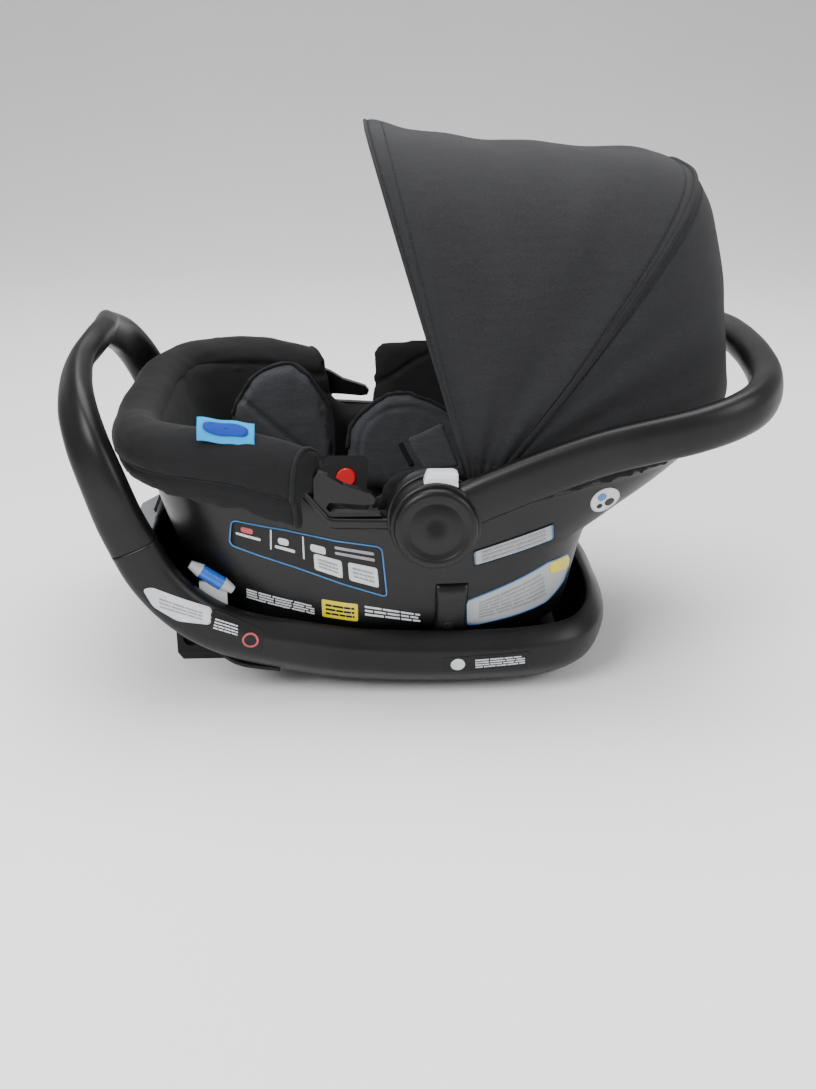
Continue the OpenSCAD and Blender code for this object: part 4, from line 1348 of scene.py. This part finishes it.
# the two panels behind the latch rib
WIN = [(39, 144), (118, 167), (115, 188), (37, 162)]
on_shell.patch(WIN, .3, SILVER, 4)
on_shell.band(WIN, 1.4, .7, INK, 4)
on_shell.band(inset(WIN, 1.6), 1.0, .6, LBLUE, 3)
on_shell.bars(inset(WIN, 4), 3, LINE, .8, 11)
LOWER = [(35, 73), (46, 73), (118, 86), (138, 100), (143, 122), (136, 138), (114, 138), (33, 105)]
on_shell.patch(LOWER, .3, SILVER, 3)
on_shell.band(LOWER, 1.3, .6, LBLUE, 3)
on_shell.bars([(42, 78), (122, 92), (112, 134), (42, 104)], 6, LINE, .65, 13)
on_shell.patch([(118, 122), (141, 116), (140, 128), (136, 136), (116, 136)], .65, YELLOW, 2)
# round sticker under the canopy
for radius, dx, dz, out, mat in ((15, 0, 0, .3, WHITE), (4.5, -4, 5, .55, LBLUE),
                                 (5, 5, -3, .55, INK), (3, -5, -6, .55, INK)):
    on_shell.patch(circle(164 + dx, 206 + dz, radius), out, mat)
on_shell.finish("side_labels", "carrier", "shell_labels")

on_base = Stickers(base)
ARM_LIGHT = [(-266, 114), (-244, 98), (-213, 93), (-211, 109), (-265, 135), (-274, 133)]
ARM_DARK = [(-217, 82), (-166, 60), (-163, 84), (-211, 109)]
BASE_LABEL = [(12, 31), (98, 37), (96, 55), (11, 51)]
on_base.patch(ARM_LIGHT, .4, WHITE, 4)
on_base.patch(ARM_DARK, .4, INK, 4)
on_base.patch(BASE_LABEL, .4, INK, 2)
on_base.bars([(-262, 112), (-218, 96), (-217, 107), (-262, 128)], 3, LINE, .55, 21)
on_base.bars([(-213, 88), (-186, 78), (-186, 92), (-209, 102)], 4, WHITE, .55, 22)
on_base.bars(quad(BASE_LABEL, .32, .97, .12, .88), 4, WHITE, .55, 23)
on_base.band(circle(-176, 75, 8), 2, .7, LRED)
on_base.patch(circle(25, 42.5, 7), .55, WHITE)
on_base.finish("base_stickers", "base", "base_labels")

TAG_W, TAG_H = 51, 20
TAG_DROP = [(5, 8), (2.4, 5.5), (-1.5, 1.5), (-5, -4), (-7.4, -10)]    # over the roll, in YZ
tag_line = spline(TAG_DROP, 4)
tag_grid = np.array([[[x, -188 + dy, 292.5 - .14 * (x + 214) + dz + .5 * math.sin(i * .5)]
                      for dy, dz in tag_line]
                     for i, x in enumerate(np.linspace(-213, -213 + TAG_W, 25))])


def on_tag(across, up):
    """Point just above the tag, from millimetres across and up from its middle."""
    i = 12 + across / TAG_W * 24
    k = 8 - up / TAG_H * 16
    row, col = int(i), int(k)
    fi, fc = i - row, k - col
    low, high = tag_grid[row], tag_grid[row + 1]
    return ((low[col] * (1 - fi) + high[col] * fi) * (1 - fc)
            + (low[col + 1] * (1 - fi) + high[col + 1] * fi) * fc + np.array([0, -1.1, 1.1]))


tag = surface("blue_tag", tag_grid, TAG)
pill = surface("blue_tag_mark", [[on_tag(x, y) for x, y in rounded(20 * size, 5.0 * size, 3, 64)]
                                 for size in (1.0, .8, .6, .4, .2, .05)], TAG_PANEL, loop_v=True)
thicken(pill, .5, 0)
thicken(tag, 1.2, 0)
for o in (pill, tag):
    place(o, "carrier", ["seat_tag"])


# --------------------------------------------------- floor, light and camera

def stage():
    """Pale floor that sweeps up smoothly behind the object."""
    me = bpy.data.meshes.new("floor")
    bm = bmesh.new()
    start, r = 2.0, 4    # where the floor begins to curve up into the backdrop, and its radius
    steps = [(-9, 0), (start, 0), *[(start + r * math.sin(q), r - r * math.cos(q))
                                    for q in np.linspace(.02, math.pi / 2, 60)],
             (start + r, 9)]
    rows = [[bm.verts.new((x, y, z)) for x in (-14, 14)] for y, z in steps]
    for a, b in zip(rows[:-1], rows[1:]):
        bm.faces.new((a[0], a[1], b[1], b[0])).smooth = True
    bm.to_mesh(me)
    bm.free()
    m = Mat("studio_floor", 0.6, 0.2)
    m.colour(m.ramp(m.noise(2, 2), [(0.2, (0.9, 0.9, 0.905)), (0.8, (0.94, 0.94, 0.945))]))
    me.materials.append(m.m)
    o = bpy.data.objects.new("studio_floor", me)
    scene.collection.objects.link(o)


def area_light(name, place_at, look, size, power):
    data = bpy.data.lights.new(name, "AREA")
    data.shape = "RECTANGLE"
    data.size, data.size_y = size
    data.energy = power
    o = bpy.data.objects.new(name, data)
    o.location = place_at
    o.rotation_euler = (Vector(look) - Vector(place_at)).to_track_quat("-Z", "Y").to_euler()
    scene.collection.objects.link(o)


stage()
world = bpy.data.worlds.new("studio")
world.use_nodes = True
world.node_tree.nodes["Background"].inputs["Color"].default_value = (1, 1, 1, 1)
world.node_tree.nodes["Background"].inputs["Strength"].default_value = 0.5
scene.world = world
area_light("key", (-1.5, -1.7, 2.0), (0, 0, .2), (1.3, 1.3), 75)
area_light("fill", (1.9, -1.3, 1.3), (0, 0, .2), (1.2, 1.2), 26)
area_light("top", (0.1, 0.3, 2.4), (0, 0, .2), (2.0, 2.0), 85)

SENSOR = 36
FIELD_OF_VIEW = math.radians(45.327)    # over the picture's height
cam = bpy.data.cameras.new("camera")
cam.sensor_fit = "VERTICAL"
cam.sensor_width = cam.sensor_height = SENSOR
cam.lens = SENSOR / 2 / math.tan(FIELD_OF_VIEW / 2)
camera = bpy.data.objects.new("camera", cam)
pitch, yaw = math.radians(22.7), math.radians(2.55)
ahead = Vector((math.sin(yaw) * math.cos(pitch), math.cos(yaw) * math.cos(pitch),
                -math.sin(pitch)))
right = Vector((math.cos(yaw), -math.sin(yaw), 0))
camera.matrix_world = (Matrix.Translation((-0.07436, -1.30871, 0.64470))
                       @ Matrix((right, right.cross(ahead), -ahead)).transposed().to_4x4())
scene.collection.objects.link(camera)
bpy.context.scene.camera = camera
